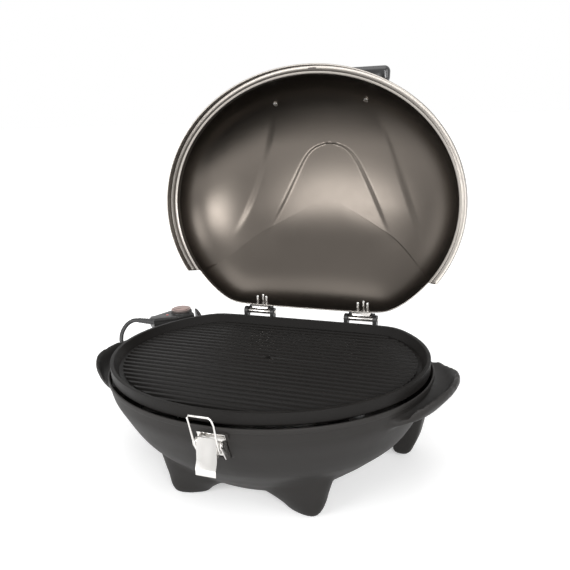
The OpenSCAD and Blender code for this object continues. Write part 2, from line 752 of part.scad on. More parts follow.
module grill_plate() {
    trim = plate_rim_w + plate_slope_w + 6;
    color("#1c1b1b") seat() difference() {
        union() {
            difference() {
                prism(plate_oval(0), wall_bottom, rim_z);
                skin([raise(plate_oval(plate_rim_w + plate_slope_w), floor_top),
                      raise(plate_oval(plate_rim_w - 0.5), rim_z + 1)]);
            }
            prism(plate_oval(floor_inset), floor_bottom, floor_top - 1);
            intersection() {
                rib_comb();
                prism(plate_oval(trim), floor_top - 3, rim_z);
            }
            for (p = pad_spots) for (s = [-1, 1])
                translate([s * p.x, p.y, pad_top]) cylinder(h = foot_h + 1, r = pad_r - 1);
            translate([0, 0, floor_bottom - 8]) cylinder(h = 10, r = drain_d / 2 + 3);
            at_socket() translate([-46, snout_low, floor_bottom - socket_h])
                cube([20, 18.5, socket_h + 1]);
        }
        translate([0, 0, floor_bottom - 10]) cylinder(h = 40, r = drain_d / 2);
        at_socket() translate([-60, snout_mid, contact_z]) rotate([0, 90, 0])
            cylinder(h = 60, r = probe_d / 2 + running_fit);
        for (p = element_ends) translate([p.x, p.y, floor_bottom - 1])
            cylinder(h = 3.5, r = element_d / 2 + fixed_fit);
    }
}

// The sheathed element, clamped under the floor, its two ends turned up into it
module heating_element() {
    r = element_d / 2;
    color("#8c8a86") seat() translate([0, 0, element_z]) {
        rod_x(-element_r, 0, r, -element_run, element_run);
        rod_x(element_r, 0, r, -element_run - 50, element_run);
        translate([element_run, 0, 0]) rotate([0, 0, -90]) rotate_extrude(angle = 180)
            translate([element_r, 0]) circle(r);
        translate([-element_run, 0, 0]) rotate([0, 0, 180]) rotate_extrude(angle = 90)
            translate([element_r, 0]) circle(r);
        for (p = element_ends) translate([p.x, p.y, 0]) {
            sphere(r);
            cylinder(h = r + 2, r = r);
        }
    }
}

// --------------------------------------------------------- socket and guard

module terminal_insulator() {
    color("#d8d2c4") socket_place() difference() {
        translate([-25.9, snout_low, floor_bottom - socket_h]) cube([17, 18.5, socket_h - 0.1]);
        for (s = [-1, 1]) translate([-27, snout_mid + s * pin_spread, contact_z]) rotate([0, 90, 0])
            cylinder(h = 30, r = pin_d / 2 + fixed_fit);
        translate([-27, snout_mid, contact_z]) rotate([0, 90, 0])
            cylinder(h = 30, r = probe_d / 2 + running_fit);
    }
}

module terminal_pins() {
    color("#c9b27a") socket_place() for (s = [-1, 1])
        translate([-24, snout_mid + s * pin_spread, contact_z]) rotate([0, 90, 0]) {
            cylinder(h = 40, r = pin_d / 2);
            translate([0, 0, 40]) sphere(pin_d / 2);
        }
}

// A quarter-round fin beside the thermostat, on a foot screwed to the housing's lip
module guard_place() {
    k = 1 / sqrt(pow(plate_a * cos(guard_angle), 2) + pow(plate_front * sin(guard_angle), 2));
    seat() translate([plate_a * plate_a * cos(guard_angle) * k,
                      plate_front * plate_front * sin(guard_angle) * k, 0])
        rotate([0, 0, guard_angle]) children();
}

module socket_guard() {
    reach = therm_gap + 24;
    root = lip_margin + 0.1;
    low = house_top - 22;
    shoulder = house_top - 9;
    top = body_top - 1.5;
    arc = [for (t = [0 : 10 : 90]) [reach - (reach - 12) * sin(t), shoulder + (top - shoulder) * cos(t)]];
    color("#242322") guard_place() difference() {
        union() {
            translate([root + 0.5, 0, 0]) rotate([0, 0, socket_angle - guard_angle])
                translate([-root, guard_t, 0]) rotate([90, 0, 0]) linear_extrude(guard_t)
                polygon(concat([[root, low], [reach, house_top - 12]], arc, [[root, shoulder]]));
            translate([root, -14, low]) cube([2.5, 15, house_top - 2 - low]);
        }
        translate([0, -7, house_top - 4.5]) rotate([0, 90, 0]) cylinder(h = 20, r = 1.6);
    }
}

module guard_screws() {
    color("#8f8f8c") guard_place() translate([lip_margin + 2.6, -7, house_top - 4.5]) rotate([0, 90, 0]) {
        cylinder(h = 1.6, r = 2.8);
        translate([0, 0, -4.5]) cylinder(h = 5, r = 1.5);
    }
}

// --------------------------------------------------------------- thermostat

// The body's plan: square beside the plate, drawn in to the lead's collar
module body_plan(inset) {
    x0 = therm_gap + inset;
    x1 = therm_gap + therm_w - inset;
    y0 = body_low_y + inset;
    y1 = body_high_y - inset;
    neck = 11 - inset;
    mid = therm_gap + therm_w / 2;
    polygon([[x0, y0 + 5], [x0 + 5, y0], [x1 - 5, y0], [x1, y0 + 5], [x1, y0 + 30],
             [mid + neck, y1 - 8], [mid + neck, y1], [mid - neck, y1], [mid - neck, y1 - 8],
             [x0, y0 + 34]]);
}

module thermostat_lower() {
    color("#262423") socket_place() difference() {
        union() {
            translate([0, 0, body_z]) linear_extrude(body_seam - body_z) body_plan(0);
            translate([0.6, snout_low, contact_z - snout_h / 2])
                cube([therm_gap + 18, 18.5, back_edge_z - 1.5 - contact_z + snout_h / 2]);
        }
        translate([0, 0, body_z + 2]) linear_extrude(20) body_plan(2.4);
        for (s = [-1, 1]) translate([-1, snout_mid + s * pin_spread, contact_z]) rotate([0, 90, 0])
            cylinder(h = 28, r = pin_d / 2 + 1.1 + fixed_fit);
        translate([-1, snout_mid, contact_z]) rotate([0, 90, 0])
            cylinder(h = 30, r = probe_d / 2 + fixed_fit);
    }
}

module thermostat_upper() {
    color("#2b2928") socket_place() difference() {
        union() {
            translate([0, 0, body_seam]) linear_extrude(body_top - 4 - body_seam) body_plan(0);
            translate([0, 0, body_top - 4.1]) linear_extrude(2.1) body_plan(1.6);
            translate([dial_x, dial_y, body_seam + 2])
                cylinder(h = body_top - body_seam - 2, r = dial_d / 2 + 1.5);
        }
        translate([0, 0, body_seam - 1]) linear_extrude(body_top - body_seam - 4) body_plan(2.4);
        translate([dial_x, dial_y, body_top - 12]) cylinder(h = 20, r = shaft_d / 2 + running_fit);
        translate([lens_x, lens_y, body_top - 12]) cylinder(h = 20, r = 2.5 + fixed_fit);
    }
}

module contact_sleeves() {
    color("#c9a55a") socket_place() for (s = [-1, 1])
        translate([1.4, snout_mid + s * pin_spread, contact_z]) rotate([0, 90, 0]) difference() {
            cylinder(h = 22, r = pin_d / 2 + 1.1);
            translate([0, 0, -1]) cylinder(h = 24, r = pin_d / 2 + running_fit);
        }
}

module probe_rod() {
    color("#b8b8b4") socket_place() translate([-42, snout_mid, contact_z]) rotate([0, 90, 0]) {
        cylinder(h = 70, r = probe_d / 2);
        sphere(probe_d / 2);
    }
}

module switch_block() {
    color("#e8e0cc") socket_place() translate([dial_x - 12, dial_y - 10, body_z + 2.1]) difference() {
        cube([24, 20, body_top - body_z - 8]);
        translate([12, 10, body_top - body_z - 16]) cylinder(h = 20, r = shaft_d / 2 + running_fit);
    }
}

module indicator_lens() {
    color("#b33a1e") socket_place() translate([lens_x, lens_y, body_seam + 3]) {
        cylinder(h = body_top - 1.6 - body_seam - 3, r = 2.5);
    }
}

module dial_shaft() {
    color("#b8b8b4") socket_place() translate([dial_x, dial_y, body_top - 13.8])
        cylinder(h = 13.8 + dial_h - 1.6, r = shaft_d / 2);
}

module dial() {
    color("#a58f88") socket_place() translate([dial_x, dial_y, body_top + seat_gap]) difference() {
        union() {
            cylinder(h = dial_h - 1, r = dial_d / 2);
            cylinder(h = dial_h, r = dial_d / 2 - 2.5);
            translate([-1.2, 0, dial_h - 0.5]) cube([2.4, dial_d / 2 - 4, 1.1]);
        }
        translate([0, 0, -1]) cylinder(h = dial_h - 0.9, r = shaft_d / 2 + fixed_fit);
    }
}

// --------------------------------------------------------------------- lead

// The tapering sleeve where the lead leaves the body
module strain_relief() {
    p = cord_start;
    base = p + [relief_len, -1.3, 0];
    color("#1f1e1e") seat() translate(base) rotate([0, 90, atan2(p.y - base.y, p.x - base.x)])
        cylinder(h = norm(p - base), r1 = relief_d / 2, r2 = cord_d / 2 + 0.6);
}

// A tube of twelve or fewer sides swept along a list of points
module tube(points, r, sides = 10) {
    m = len(points);
    rings = [for (j = [0 : m - 1])
             let (t = unit(points[min(j + 1, m - 1)] - points[max(j - 1, 0)]),
                  u = unit(cross3(t, abs(t.z) > 0.9 ? [1, 0, 0] : [0, 0, 1])),
                  v = cross3(u, t))
             [for (i = [0 : sides - 1]) let (a = 360 * i / sides)
              points[j] + r * (cos(a) * v + sin(a) * u)]];
    skin(rings);
}

module cord() {
    color("#1b1b1b") seat() {
        tube(cord_route, cord_d / 2);
        tube(tail_route, cord_d / 2);
    }
}

module coil_section() {
    w = 2 * cord_d;
    h = 3 * cord_d;
    r = cord_d / 2;
    translate([coil_d / 2 - w / 2, 1]) {
        translate([r, 0]) square([w - 2 * r, h]);
        translate([0, r]) square([w, h - 2 * r]);
        for (x = [r, w - r]) for (z = [r, h - r]) translate([x, z]) circle(r);
    }
}

module cord_coil() {
    color("#1b1b1b") seat() translate([coil_c.x, coil_c.y, 0]) rotate_extrude($fn = 96) coil_section();
}

module cord_tie() {
    w = 2 * cord_d + 0.4;
    h = 3 * cord_d + 0.2;
    t = 0.8;
    color("#30302f") seat() translate([coil_c.x, coil_c.y, 0]) rotate([0, 0, 150]) translate([0, 6, 0])
        rotate([90, 0, 0]) linear_extrude(12) difference() {
            translate([coil_d / 2 - w / 2 - t, 0.1]) square([w + 2 * t, h + 2 * t]);
            translate([coil_d / 2 - w / 2, 0.1 + t]) square([w, h]);
        }
}

// A round earthed-type plug with two pins, lying beside the coil
module plug_body() {
    start = tail_route[len(tail_route) - 1];
    r = plug_d / 2;
    color("#1f1f1f") seat() translate(start) rotate([0, 90, 0]) {
        cylinder(h = 14, r1 = cord_d / 2 + 1, r2 = cord_d / 2 + 3);
        translate([0, 0, 13]) cylinder(h = 9, r1 = cord_d / 2 + 3, r2 = r);
        translate([0, 0, 22]) cylinder(h = plug_len - 16, r = r);
    }
}

module plug_pins() {
    start = tail_route[len(tail_route) - 1];
    end_x = 22 + plug_len - 16;
    color("#c8c8c8") seat() translate(start) for (s = [-1, 1])
        translate([end_x - 4, s * plug_pin_gap / 2, 0]) rotate([0, 90, 0]) {
            cylinder(h = 22, r = plug_pin_d / 2);
            translate([0, 0, 22]) sphere(plug_pin_d / 2);
        }
}

base_housing();
plate_supports();
reflector_posts();
plate_pads();
heat_reflector();
reflector_screws();
drip_tray();
hinge_bracket_left();
hinge_bracket_right();
hinge_pins();
bracket_screws();
latch_bracket();
latch_rivets();
latch_pin();
latch_lever();
latch_bail();
lid_shell();
lid_handle();
lid_handle_screws();
hinge_leaf_left();
hinge_leaf_right();
leaf_screws();
grill_plate();
heating_element();
terminal_insulator();
terminal_pins();
socket_guard();
guard_screws();
thermostat_lower();
thermostat_upper();
probe_rod();
contact_sleeves();
switch_block();
indicator_lens();
dial_shaft();
dial();
strain_relief();
cord();
cord_coil();
cord_tie();
plug_body();
plug_pins();
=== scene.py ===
"""Looks for an electric indoor grill with a hinged lid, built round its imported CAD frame.

Shapes are worked out in millimetres in the plate's own coordinates (X and Y zero at
the plate's centre, Z zero on the table) and put into metres by place() at the end.
"""

import math

import bmesh
import bpy
import numpy as np
from mathutils import Matrix, Vector


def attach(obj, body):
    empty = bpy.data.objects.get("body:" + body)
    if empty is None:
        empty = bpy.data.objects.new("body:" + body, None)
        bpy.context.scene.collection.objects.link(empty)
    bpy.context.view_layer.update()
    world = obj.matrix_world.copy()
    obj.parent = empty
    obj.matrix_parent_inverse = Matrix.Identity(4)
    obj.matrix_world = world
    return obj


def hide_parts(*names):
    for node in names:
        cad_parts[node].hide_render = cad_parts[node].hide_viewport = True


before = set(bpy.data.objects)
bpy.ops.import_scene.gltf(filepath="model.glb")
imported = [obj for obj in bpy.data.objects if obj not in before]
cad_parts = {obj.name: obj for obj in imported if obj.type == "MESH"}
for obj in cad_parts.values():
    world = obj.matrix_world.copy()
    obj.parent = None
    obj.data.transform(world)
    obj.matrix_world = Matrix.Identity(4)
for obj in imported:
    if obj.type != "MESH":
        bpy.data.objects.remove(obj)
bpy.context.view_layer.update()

MM = 0.001
SEAT_Y = -34.5427          # the plate's centre lies this far in front of the origin
HINGE_Y, HINGE_Z = 173.0, 182.0
OPEN = math.radians(98.5)

# ------------------------------------------------------------------ camera

VIEW_AZ, VIEW_EL, VIEW_ROLL = map(math.radians, (23.3065, 20.8146, -3.2246))
FOCAL_PX, PICTURE_PX, SHIFT_PX = 691.45, 570, 60
SENSOR = 36.0
EYE = (0.3850, -0.8269 + SEAT_Y * MM, 0.5383)


def make_camera():
    """Camera axes: forward is minus the direction to the eye, right and up are turned
    about it by the roll; the lens is the focal length in pixels over the image's width."""
    ca, sa, ce, se = math.cos(VIEW_AZ), math.sin(VIEW_AZ), math.cos(VIEW_EL), math.sin(VIEW_EL)
    back = Vector((sa * ce, -ca * ce, se))
    right = (-back).cross(Vector((0, 0, 1))).normalized()
    up = right.cross(-back)
    r = math.cos(VIEW_ROLL) * right + math.sin(VIEW_ROLL) * up
    u = -math.sin(VIEW_ROLL) * right + math.cos(VIEW_ROLL) * up
    data = bpy.data.cameras.new("grill_camera")
    data.sensor_width = SENSOR
    data.lens = FOCAL_PX / PICTURE_PX * SENSOR
    data.shift_y = SHIFT_PX / PICTURE_PX
    cam = bpy.data.objects.new("grill_camera", data)
    bpy.context.collection.objects.link(cam)
    m = Matrix((r, u, back)).transposed().to_4x4()
    m.translation = Vector(EYE)
    cam.matrix_world = m
    bpy.context.scene.camera = cam


make_camera()

# ----------------------------------------------------------------- helpers


def place(points):
    """Plate coordinates in millimetres to the shared frame in metres."""
    p = np.asarray(points, float).reshape(-1, 3) * MM
    p[:, 1] += SEAT_Y * MM
    return p


def lid_open(points):
    """Points of the closed lid turned back about the hinge axis to the open lid."""
    p = np.array(points, float).reshape(-1, 3)
    y, z = p[:, 1] - HINGE_Y, p[:, 2] - HINGE_Z
    c, s = math.cos(OPEN), math.sin(OPEN)
    p[:, 1] = HINGE_Y + y * c + z * s
    p[:, 2] = HINGE_Z - y * s + z * c
    return p


def new_piece(name, verts, faces, smooth=True):
    """A mesh object from points in metres and faces."""
    me = bpy.data.meshes.new(name)
    me.from_pydata([tuple(v) for v in verts], [], [tuple(int(i) for i in f) for f in faces])
    me.validate()
    me.update()
    if smooth:
        me.polygons.foreach_set("use_smooth", np.ones(len(me.polygons), bool))
    ob = bpy.data.objects.new(name, me)
    bpy.context.collection.objects.link(ob)
    return ob


def grid_faces(rows, cols, wrap_rows=False, wrap_cols=True, flip=False):
    """Quads of a grid of rows by cols points, joined round where wrap is set."""
    r = np.arange(rows if wrap_rows else rows - 1)
    c = np.arange(cols if wrap_cols else cols - 1)
    R, C = np.meshgrid(r, c, indexing="ij")
    R2, C2 = (R + 1) % rows, (C + 1) % cols
    q = np.stack([R * cols + C, R * cols + C2, R2 * cols + C2, R2 * cols + C], -1).reshape(-1, 4)
    return q[:, ::-1] if flip else q


def smooth_step(t):
    """Rises from 0 to 1 as three t squared less two t cubed, level at both ends."""
    t = np.clip(t, 0, 1)
    return t * t * (3 - 2 * t)


def soft_min(u, c, soft=5.0):
    """The smaller of u and c, rounded where they cross."""
    return (u + c - np.sqrt((u - c) ** 2 + 4 * soft * soft)) / 2


def oval(a, b, c, n):
    """The grill's outline: an ellipse of half axes a and b cut straight at y = c."""
    t = np.linspace(0, 2 * np.pi, n, endpoint=False)
    return np.stack([a * np.cos(t), soft_min(b * np.sin(t), c)], -1)


def at_height(points, z):
    """Flat points lifted to the height z."""
    p = np.asarray(points, float)
    return np.concatenate([p, np.full((len(p), 1), float(z))], 1)


def ring_stack(rings, closed=False, caps=True):
    """Points and faces of a body through rings of equal count."""
    rings = np.asarray(rings, float)
    m, n = rings.shape[:2]
    faces = [list(f) for f in grid_faces(m, n, wrap_rows=closed)]
    if caps and not closed:
        faces += [list(range(n))[::-1], list(range((m - 1) * n, m * n))]
    return rings.reshape(-1, 3), faces


def apply_all(ob):
    """Bakes the modifiers of ob into its mesh."""
    dg = bpy.context.evaluated_depsgraph_get()
    me = bpy.data.meshes.new_from_object(ob.evaluated_get(dg), depsgraph=dg)
    ob.modifiers.clear()
    old = ob.data
    ob.data = me
    bpy.data.meshes.remove(old)
    return ob


def outward(ob, merge=1e-6):
    """Merges doubles and turns the faces outwards."""
    bm = bmesh.new()
    bm.from_mesh(ob.data)
    bmesh.ops.remove_doubles(bm, verts=bm.verts, dist=merge)
    bmesh.ops.recalc_face_normals(bm, faces=bm.faces)
    bm.to_mesh(ob.data)
    bm.free()
    return ob


def joined(name, obs):
    """One object from several, without the context's selection."""
    bm = bmesh.new()
    for o in obs:
        bm.from_mesh(o.data)
    me = bpy.data.meshes.new(name)
    bm.to_mesh(me)
    bm.free()
    for o in obs:
        bpy.data.objects.remove(o)
    ob = bpy.data.objects.new(name, me)
    bpy.context.collection.objects.link(ob)
    return ob


def crease(ob, degrees=35):
    """Smooth faces with sharp edges where the surface turns by more than the angle."""
    me = ob.data
    me.polygons.foreach_set("use_smooth", np.ones(len(me.polygons), bool))
    me.set_sharp_from_angle(angle=math.radians(degrees))
    return ob


def cut(ob, tool):
    """Takes the tool's volume out of ob."""
    m = ob.modifiers.new("cut", "BOOLEAN")
    m.operation, m.solver, m.object = "DIFFERENCE", "EXACT", tool
    apply_all(ob)
    bpy.data.objects.remove(tool)
    return ob


def dressed(node, body, mats, name=None, bevel=0.35, angle=30, segments=2):
    """A finer copy of a CAD node that stands for it: the loose triangles are merged, flat
    faces joined, and the edges that turn by more than the angle get a small round."""
    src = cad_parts[node]
    ob = bpy.data.objects.new(name or node + "_fine", src.data.copy())
    bpy.context.collection.objects.link(ob)
    bm = bmesh.new()
    bm.from_mesh(ob.data)
    bmesh.ops.remove_doubles(bm, verts=bm.verts, dist=2e-6)
    bmesh.ops.dissolve_limit(bm, angle_limit=math.radians(0.8), verts=bm.verts, edges=bm.edges)
    bm.to_mesh(ob.data)
    bm.free()
    ob.data.materials.clear()
    for m in mats if isinstance(mats, (list, tuple)) else [mats]:
        ob.data.materials.append(m)
    ob.data.polygons.foreach_set("material_index", np.zeros(len(ob.data.polygons), np.int32))
    if bevel:
        b = ob.modifiers.new("round", "BEVEL")
        b.limit_method, b.angle_limit = "ANGLE", math.radians(angle)
        b.width, b.segments, b.harden_normals = bevel * MM, segments, False
        apply_all(ob)
    crease(ob, angle + 8)
    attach(ob, body)
    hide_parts(node)
    return ob


# --------------------------------------------------------------- materials


def group(name, inputs, outputs):
    """An empty shader node group with float inputs (name, default) and typed outputs."""
    g = bpy.data.node_groups.new(name, "ShaderNodeTree")
    for n, v in inputs:
        s = g.interface.new_socket(n, in_out="INPUT", socket_type="NodeSocketFloat")
        s.default_value = v
    for n, t in outputs:
        g.interface.new_socket(n, in_out="OUTPUT", socket_type=t)
    return g, g.nodes.new("NodeGroupInput"), g.nodes.new("NodeGroupOutput")


def math_node(nt, op, a, b=None, clamp=False):
    """A maths node; a and b are sockets to link or plain numbers."""
    n = nt.nodes.new("ShaderNodeMath")
    n.operation, n.use_clamp = op, clamp
    for i, v in enumerate((a, b)):
        if v is None:
            continue
        if isinstance(v, (int, float)):
            n.inputs[i].default_value = v
        else:
            nt.links.new(v, n.inputs[i])
    return n.outputs[0]


def noise(nt, vector, scale, detail=3.0, rough=0.55):
    """The value of a noise texture at the vector."""
    n = nt.nodes.new("ShaderNodeTexNoise")
    n.inputs["Scale"].default_value = scale
    n.inputs["Detail"].default_value = detail
    n.inputs["Roughness"].default_value = rough
    nt.links.new(vector, n.inputs["Vector"])
    return n.outputs["Fac"]


def make_surface_group():
    """Moulded or coated surface: height is fine grain plus a slow wave; tone is a slow
    change of brightness about 1; rough is a change of roughness about 0."""
    g, gi, go = group("surface_variation",
                      [("Grain Scale", 900.0), ("Grain", 1.0), ("Tone", 0.1), ("Rough", 0.08)],
                      [("Height", "NodeSocketFloat"), ("Tone", "NodeSocketFloat"),
                       ("Rough", "NodeSocketFloat")])
    co = g.nodes.new("ShaderNodeTexCoord").outputs["Object"]
    fine = g.nodes.new("ShaderNodeTexNoise")
    fine.inputs["Detail"].default_value = 2.0
    g.links.new(co, fine.inputs["Vector"])
    g.links.new(gi.outputs["Grain Scale"], fine.inputs["Scale"])
    slow = noise(g, co, 9.0, 4.0)
    mid = noise(g, co, 60.0, 3.0)
    g.links.new(math_node(g, "MULTIPLY", fine.outputs["Fac"], gi.outputs["Grain"]), go.inputs["Height"])
    off = math_node(g, "SUBTRACT", slow, 0.5)
    tone = math_node(g, "ADD", math_node(g, "MULTIPLY", off, gi.outputs["Tone"]), 1.0)
    g.links.new(tone, go.inputs["Tone"])
    both = math_node(g, "ADD", off, math_node(g, "SUBTRACT", mid, 0.5))
    g.links.new(math_node(g, "MULTIPLY", both, gi.outputs["Rough"]), go.inputs["Rough"])
    return g


def make_wear_group():
    """Edge mask: one where the surface turns outwards sharply, broken up by noise."""
    g, gi, go = group("edge_wear", [("Amount", 0.5), ("Sharpness", 12.0)], [("Mask", "NodeSocketFloat")])
    co = g.nodes.new("ShaderNodeTexCoord").outputs["Object"]
    point = g.nodes.new("ShaderNodeNewGeometry").outputs["Pointiness"]
    past = math_node(g, "SUBTRACT", point, 0.52)
    lift = math_node(g, "MULTIPLY", past, gi.outputs["Sharpness"], clamp=True)
    broken = math_node(g, "MULTIPLY", lift, noise(g, co, 140.0, 4.0))
    g.links.new(math_node(g, "MULTIPLY", broken, gi.outputs["Amount"], clamp=True), go.inputs["Mask"])
    return g


def make_brush_group():
    """Drawn metal: noise stretched along X, as a height and a change of roughness."""
    g, gi, go = group("drawn_lines", [("Strength", 1.0)],
                      [("Height", "NodeSocketFloat"), ("Rough", "NodeSocketFloat")])
    co = g.nodes.new("ShaderNodeTexCoord").outputs["Object"]
    mp = g.nodes.new("ShaderNodeMapping")
    mp.inputs["Scale"].default_value = (6.0, 420.0, 420.0)
    g.links.new(co, mp.inputs["Vector"])
    f = noise(g, mp.outputs["Vector"], 4.0, 5.0, 0.65)
    off = math_node(g, "SUBTRACT", f, 0.5)
    g.links.new(math_node(g, "MULTIPLY", f, gi.outputs["Strength"]), go.inputs["Height"])
    g.links.new(math_node(g, "MULTIPLY", off, gi.outputs["Strength"]), go.inputs["Rough"])
    return g


SURFACE, WEAR, BRUSH = make_surface_group(), make_wear_group(), make_brush_group()


def finish_material(name, colour, rough, metallic=0.0, grain=0.4, grain_scale=900.0, bump=0.00004,
                    tone=0.12, rough_var=0.08, wear=0.0, wear_colour=(0.3, 0.3, 0.3), brushed=0.0,
                    coat=0.0, specular=0.5):
    """A Principled finish: colour times the slow tone, worn edges mixed in, roughness with
    its own variation and a bump from the grain."""
    m = bpy.data.materials.new(name)
    m.use_nodes = True
    nt = m.node_tree
    bsdf = nt.nodes["Principled BSDF"]
    bsdf.inputs["Metallic"].default_value = metallic
    bsdf.inputs["Specular IOR Level"].default_value = specular
    if coat:
        bsdf.inputs["Coat Weight"].default_value = coat
        bsdf.inputs["Coat Roughness"].default_value = 0.12
    s = nt.nodes.new("ShaderNodeGroup")
    s.node_tree = SURFACE
    for k, v in (("Grain Scale", grain_scale), ("Grain", grain), ("Tone", tone), ("Rough", rough_var)):
        s.inputs[k].default_value = v
    mix = nt.nodes.new("ShaderNodeMix")
    mix.data_type, mix.blend_type = "RGBA", "MULTIPLY"
    mix.inputs["Factor"].default_value = 1.0
    mix.inputs["A"].default_value = (*colour, 1)
    nt.links.new(s.outputs["Tone"], mix.inputs["B"])
    out = mix.outputs["Result"]
    if wear:
        w = nt.nodes.new("ShaderNodeGroup")
        w.node_tree = WEAR
        w.inputs["Amount"].default_value = wear
        worn = nt.nodes.new("ShaderNodeMix")
        worn.data_type = "RGBA"
        worn.inputs["B"].default_value = (*wear_colour, 1)
        nt.links.new(w.outputs["Mask"], worn.inputs["Factor"])
        nt.links.new(out, worn.inputs["A"])
        out = worn.outputs["Result"]
    nt.links.new(out, bsdf.inputs["Base Color"])
    height, rv = s.outputs["Height"], s.outputs["Rough"]
    if brushed:
        b = nt.nodes.new("ShaderNodeGroup")
        b.node_tree = BRUSH
        b.inputs["Strength"].default_value = brushed
        height = math_node(nt, "ADD", height, b.outputs["Height"])
        rv = math_node(nt, "ADD", rv, math_node(nt, "MULTIPLY", b.outputs["Rough"], 0.25))
    nt.links.new(math_node(nt, "ADD", rv, rough, clamp=True), bsdf.inputs["Roughness"])
    bp = nt.nodes.new("ShaderNodeBump")
    bp.inputs["Strength"].default_value = 1.0
    bp.inputs["Distance"].default_value = bump
    nt.links.new(height, bp.inputs["Height"])
    nt.links.new(bp.outputs["Normal"], bsdf.inputs["Normal"])
    return m


housing_mat = finish_material("charcoal_housing", (0.0205, 0.0192, 0.0182), 0.52, grain=0.8, bump=0.00006,
                              wear=0.25, wear_colour=(0.065, 0.061, 0.057), tone=0.1, specular=0.13)
hinge_black = finish_material("black_hinge_plastic", (0.018, 0.0175, 0.017), 0.42, wear=0.3,
                              wear_colour=(0.08, 0.08, 0.08))
handle_mat = finish_material("black_handle", (0.012, 0.012, 0.0125), 0.28, grain=0.3, coat=0.3, tone=0.1)
lid_mat = finish_material("lid_satin_steel", (0.096, 0.084, 0.073), 0.31, metallic=1.0, grain=0.15,
                          bump=0.00001, tone=0.1, rough_var=0.05, brushed=0.12)
# Painted shade: the skirt's inside is the lid's own metal, made darker and rougher to stand in for the shadow
# in the groove under the flange.
lid_skirt_painted_shade_mat = finish_material("lid_skirt_inside_painted_shade", (0.075, 0.066, 0.058), 0.4, metallic=1.0, grain=0.2,
                                 bump=0.00001, tone=0.1)
lid_edge_mat = finish_material("lid_bright_rim", (0.28, 0.26, 0.238), 0.36, metallic=1.0, grain=0.15,
                               bump=0.00001, tone=0.08, rough_var=0.05)
steel_mat = finish_material("bright_hinge_steel", (0.54, 0.52, 0.495), 0.24, metallic=1.0, grain=0.3,
                            bump=0.00002, tone=0.15, rough_var=0.12, brushed=0.2)
chrome_mat = finish_material("latch_chrome", (0.66, 0.645, 0.625), 0.16, metallic=1.0, grain=0.15,
                             bump=0.00001, tone=0.06, rough_var=0.06)
screw_mat = finish_material("screw_steel", (0.60, 0.59, 0.57), 0.27, metallic=1.0, grain=0.3, tone=0.2)
plate_mat = finish_material("nonstick_black", (0.0085, 0.0078, 0.0073), 0.46, grain=1.0, grain_scale=1500.0,
                            bump=0.00004, tone=0.2, rough_var=0.12, wear=0.3,
                            wear_colour=(0.034, 0.031, 0.029), specular=0.1)
sheath_mat = finish_material("element_sheath", (0.21, 0.19, 0.17), 0.45, metallic=1.0, tone=0.4)
reflector_mat = finish_material("reflector_sheet", (0.09, 0.085, 0.08), 0.45, metallic=1.0, brushed=0.3)
tray_mat = finish_material("drip_tray_sheet", (0.60, 0.60, 0.59), 0.38, metallic=1.0, brushed=0.2)
pad_mat = finish_material("pad_silicone", (0.05, 0.05, 0.05), 0.6, grain=1.0)
ceramic_mat = finish_material("socket_ceramic", (0.70, 0.66, 0.56), 0.35, grain=0.5, coat=0.3)
brass_mat = finish_material("contact_brass", (0.72, 0.55, 0.25), 0.3, metallic=1.0)
control_mat = finish_material("control_black", (0.016, 0.0155, 0.015), 0.36, grain=0.6, wear=0.3,
                              wear_colour=(0.07, 0.07, 0.07))
dial_mat = finish_material("dial_dusty_pink", (0.36, 0.25, 0.225), 0.4, grain=0.4, tone=0.25)
# The dial's dark ring; the same colour also serves as painted shade for the slot in the lid's flange.
dial_ring_and_slot_shade_mat = finish_material("dial_ring", (0.085, 0.07, 0.065), 0.4)
switch_mat = finish_material("switch_cream", (0.75, 0.70, 0.58), 0.5)
lens_mat = finish_material("lens_red", (0.42, 0.03, 0.015), 0.15, coat=0.6, tone=0.1)
lead_mat = finish_material("lead_jacket", (0.014, 0.014, 0.014), 0.42, grain=0.6, bump=0.00003)
tie_mat = finish_material("tie_nylon", (0.03, 0.03, 0.03), 0.45)
pin_mat = finish_material("plug_pin_metal", (0.72, 0.69, 0.60), 0.22, metallic=1.0)

# -------------------------------------------------------------------- cord

CORD_R = 3.5
ROUTE = [(-279, 98, 175), (-290, 97, 174), (-300, 92, 168), (-305, 84, 158), (-305, 77, 146),
         (-301, 75, 131), (-293, 80, 111), (-283, 90, 88), (-272, 104, 65), (-259, 120, 43),
         (-243, 137, 25), (-224, 152, 12), (-202, 164, 5.5), (-178, 173, 4), (-155, 183, 4),
         (-132, 196, 4), (-106, 212, 4.5), (-79, 229, 4.5)]
TAIL = [(-100, 230, 19), (-84, 230, 21.5), (-68, 230, 25), (-52, 230, 25), (-38, 230, 21.5),
        (-26, 230, 18.5), (-16, 230, 18)]
COIL_X, COIL_Y = -100.0, 262.0


def spline(points, step):
    """A Catmull-Rom curve through the points, sampled about every step millimetres."""
    p = np.asarray(points, float)
    q = np.concatenate([[2 * p[0] - p[1]], p, [2 * p[-1] - p[-2]]])
    out = []
    for i in range(len(p) - 1):
        a, b, c, d = q[i:i + 4]
        n = max(2, int(round(np.linalg.norm(c - b) / step)))
        t = np.linspace(0, 1, n, endpoint=False)[:, None]
        out.append(0.5 * (2 * b + (c - a) * t + (2 * a - 5 * b + 4 * c - d) * t ** 2
                          + (3 * b - a - 3 * c + d) * t ** 3))
    return np.concatenate(out + [p[-1:]])


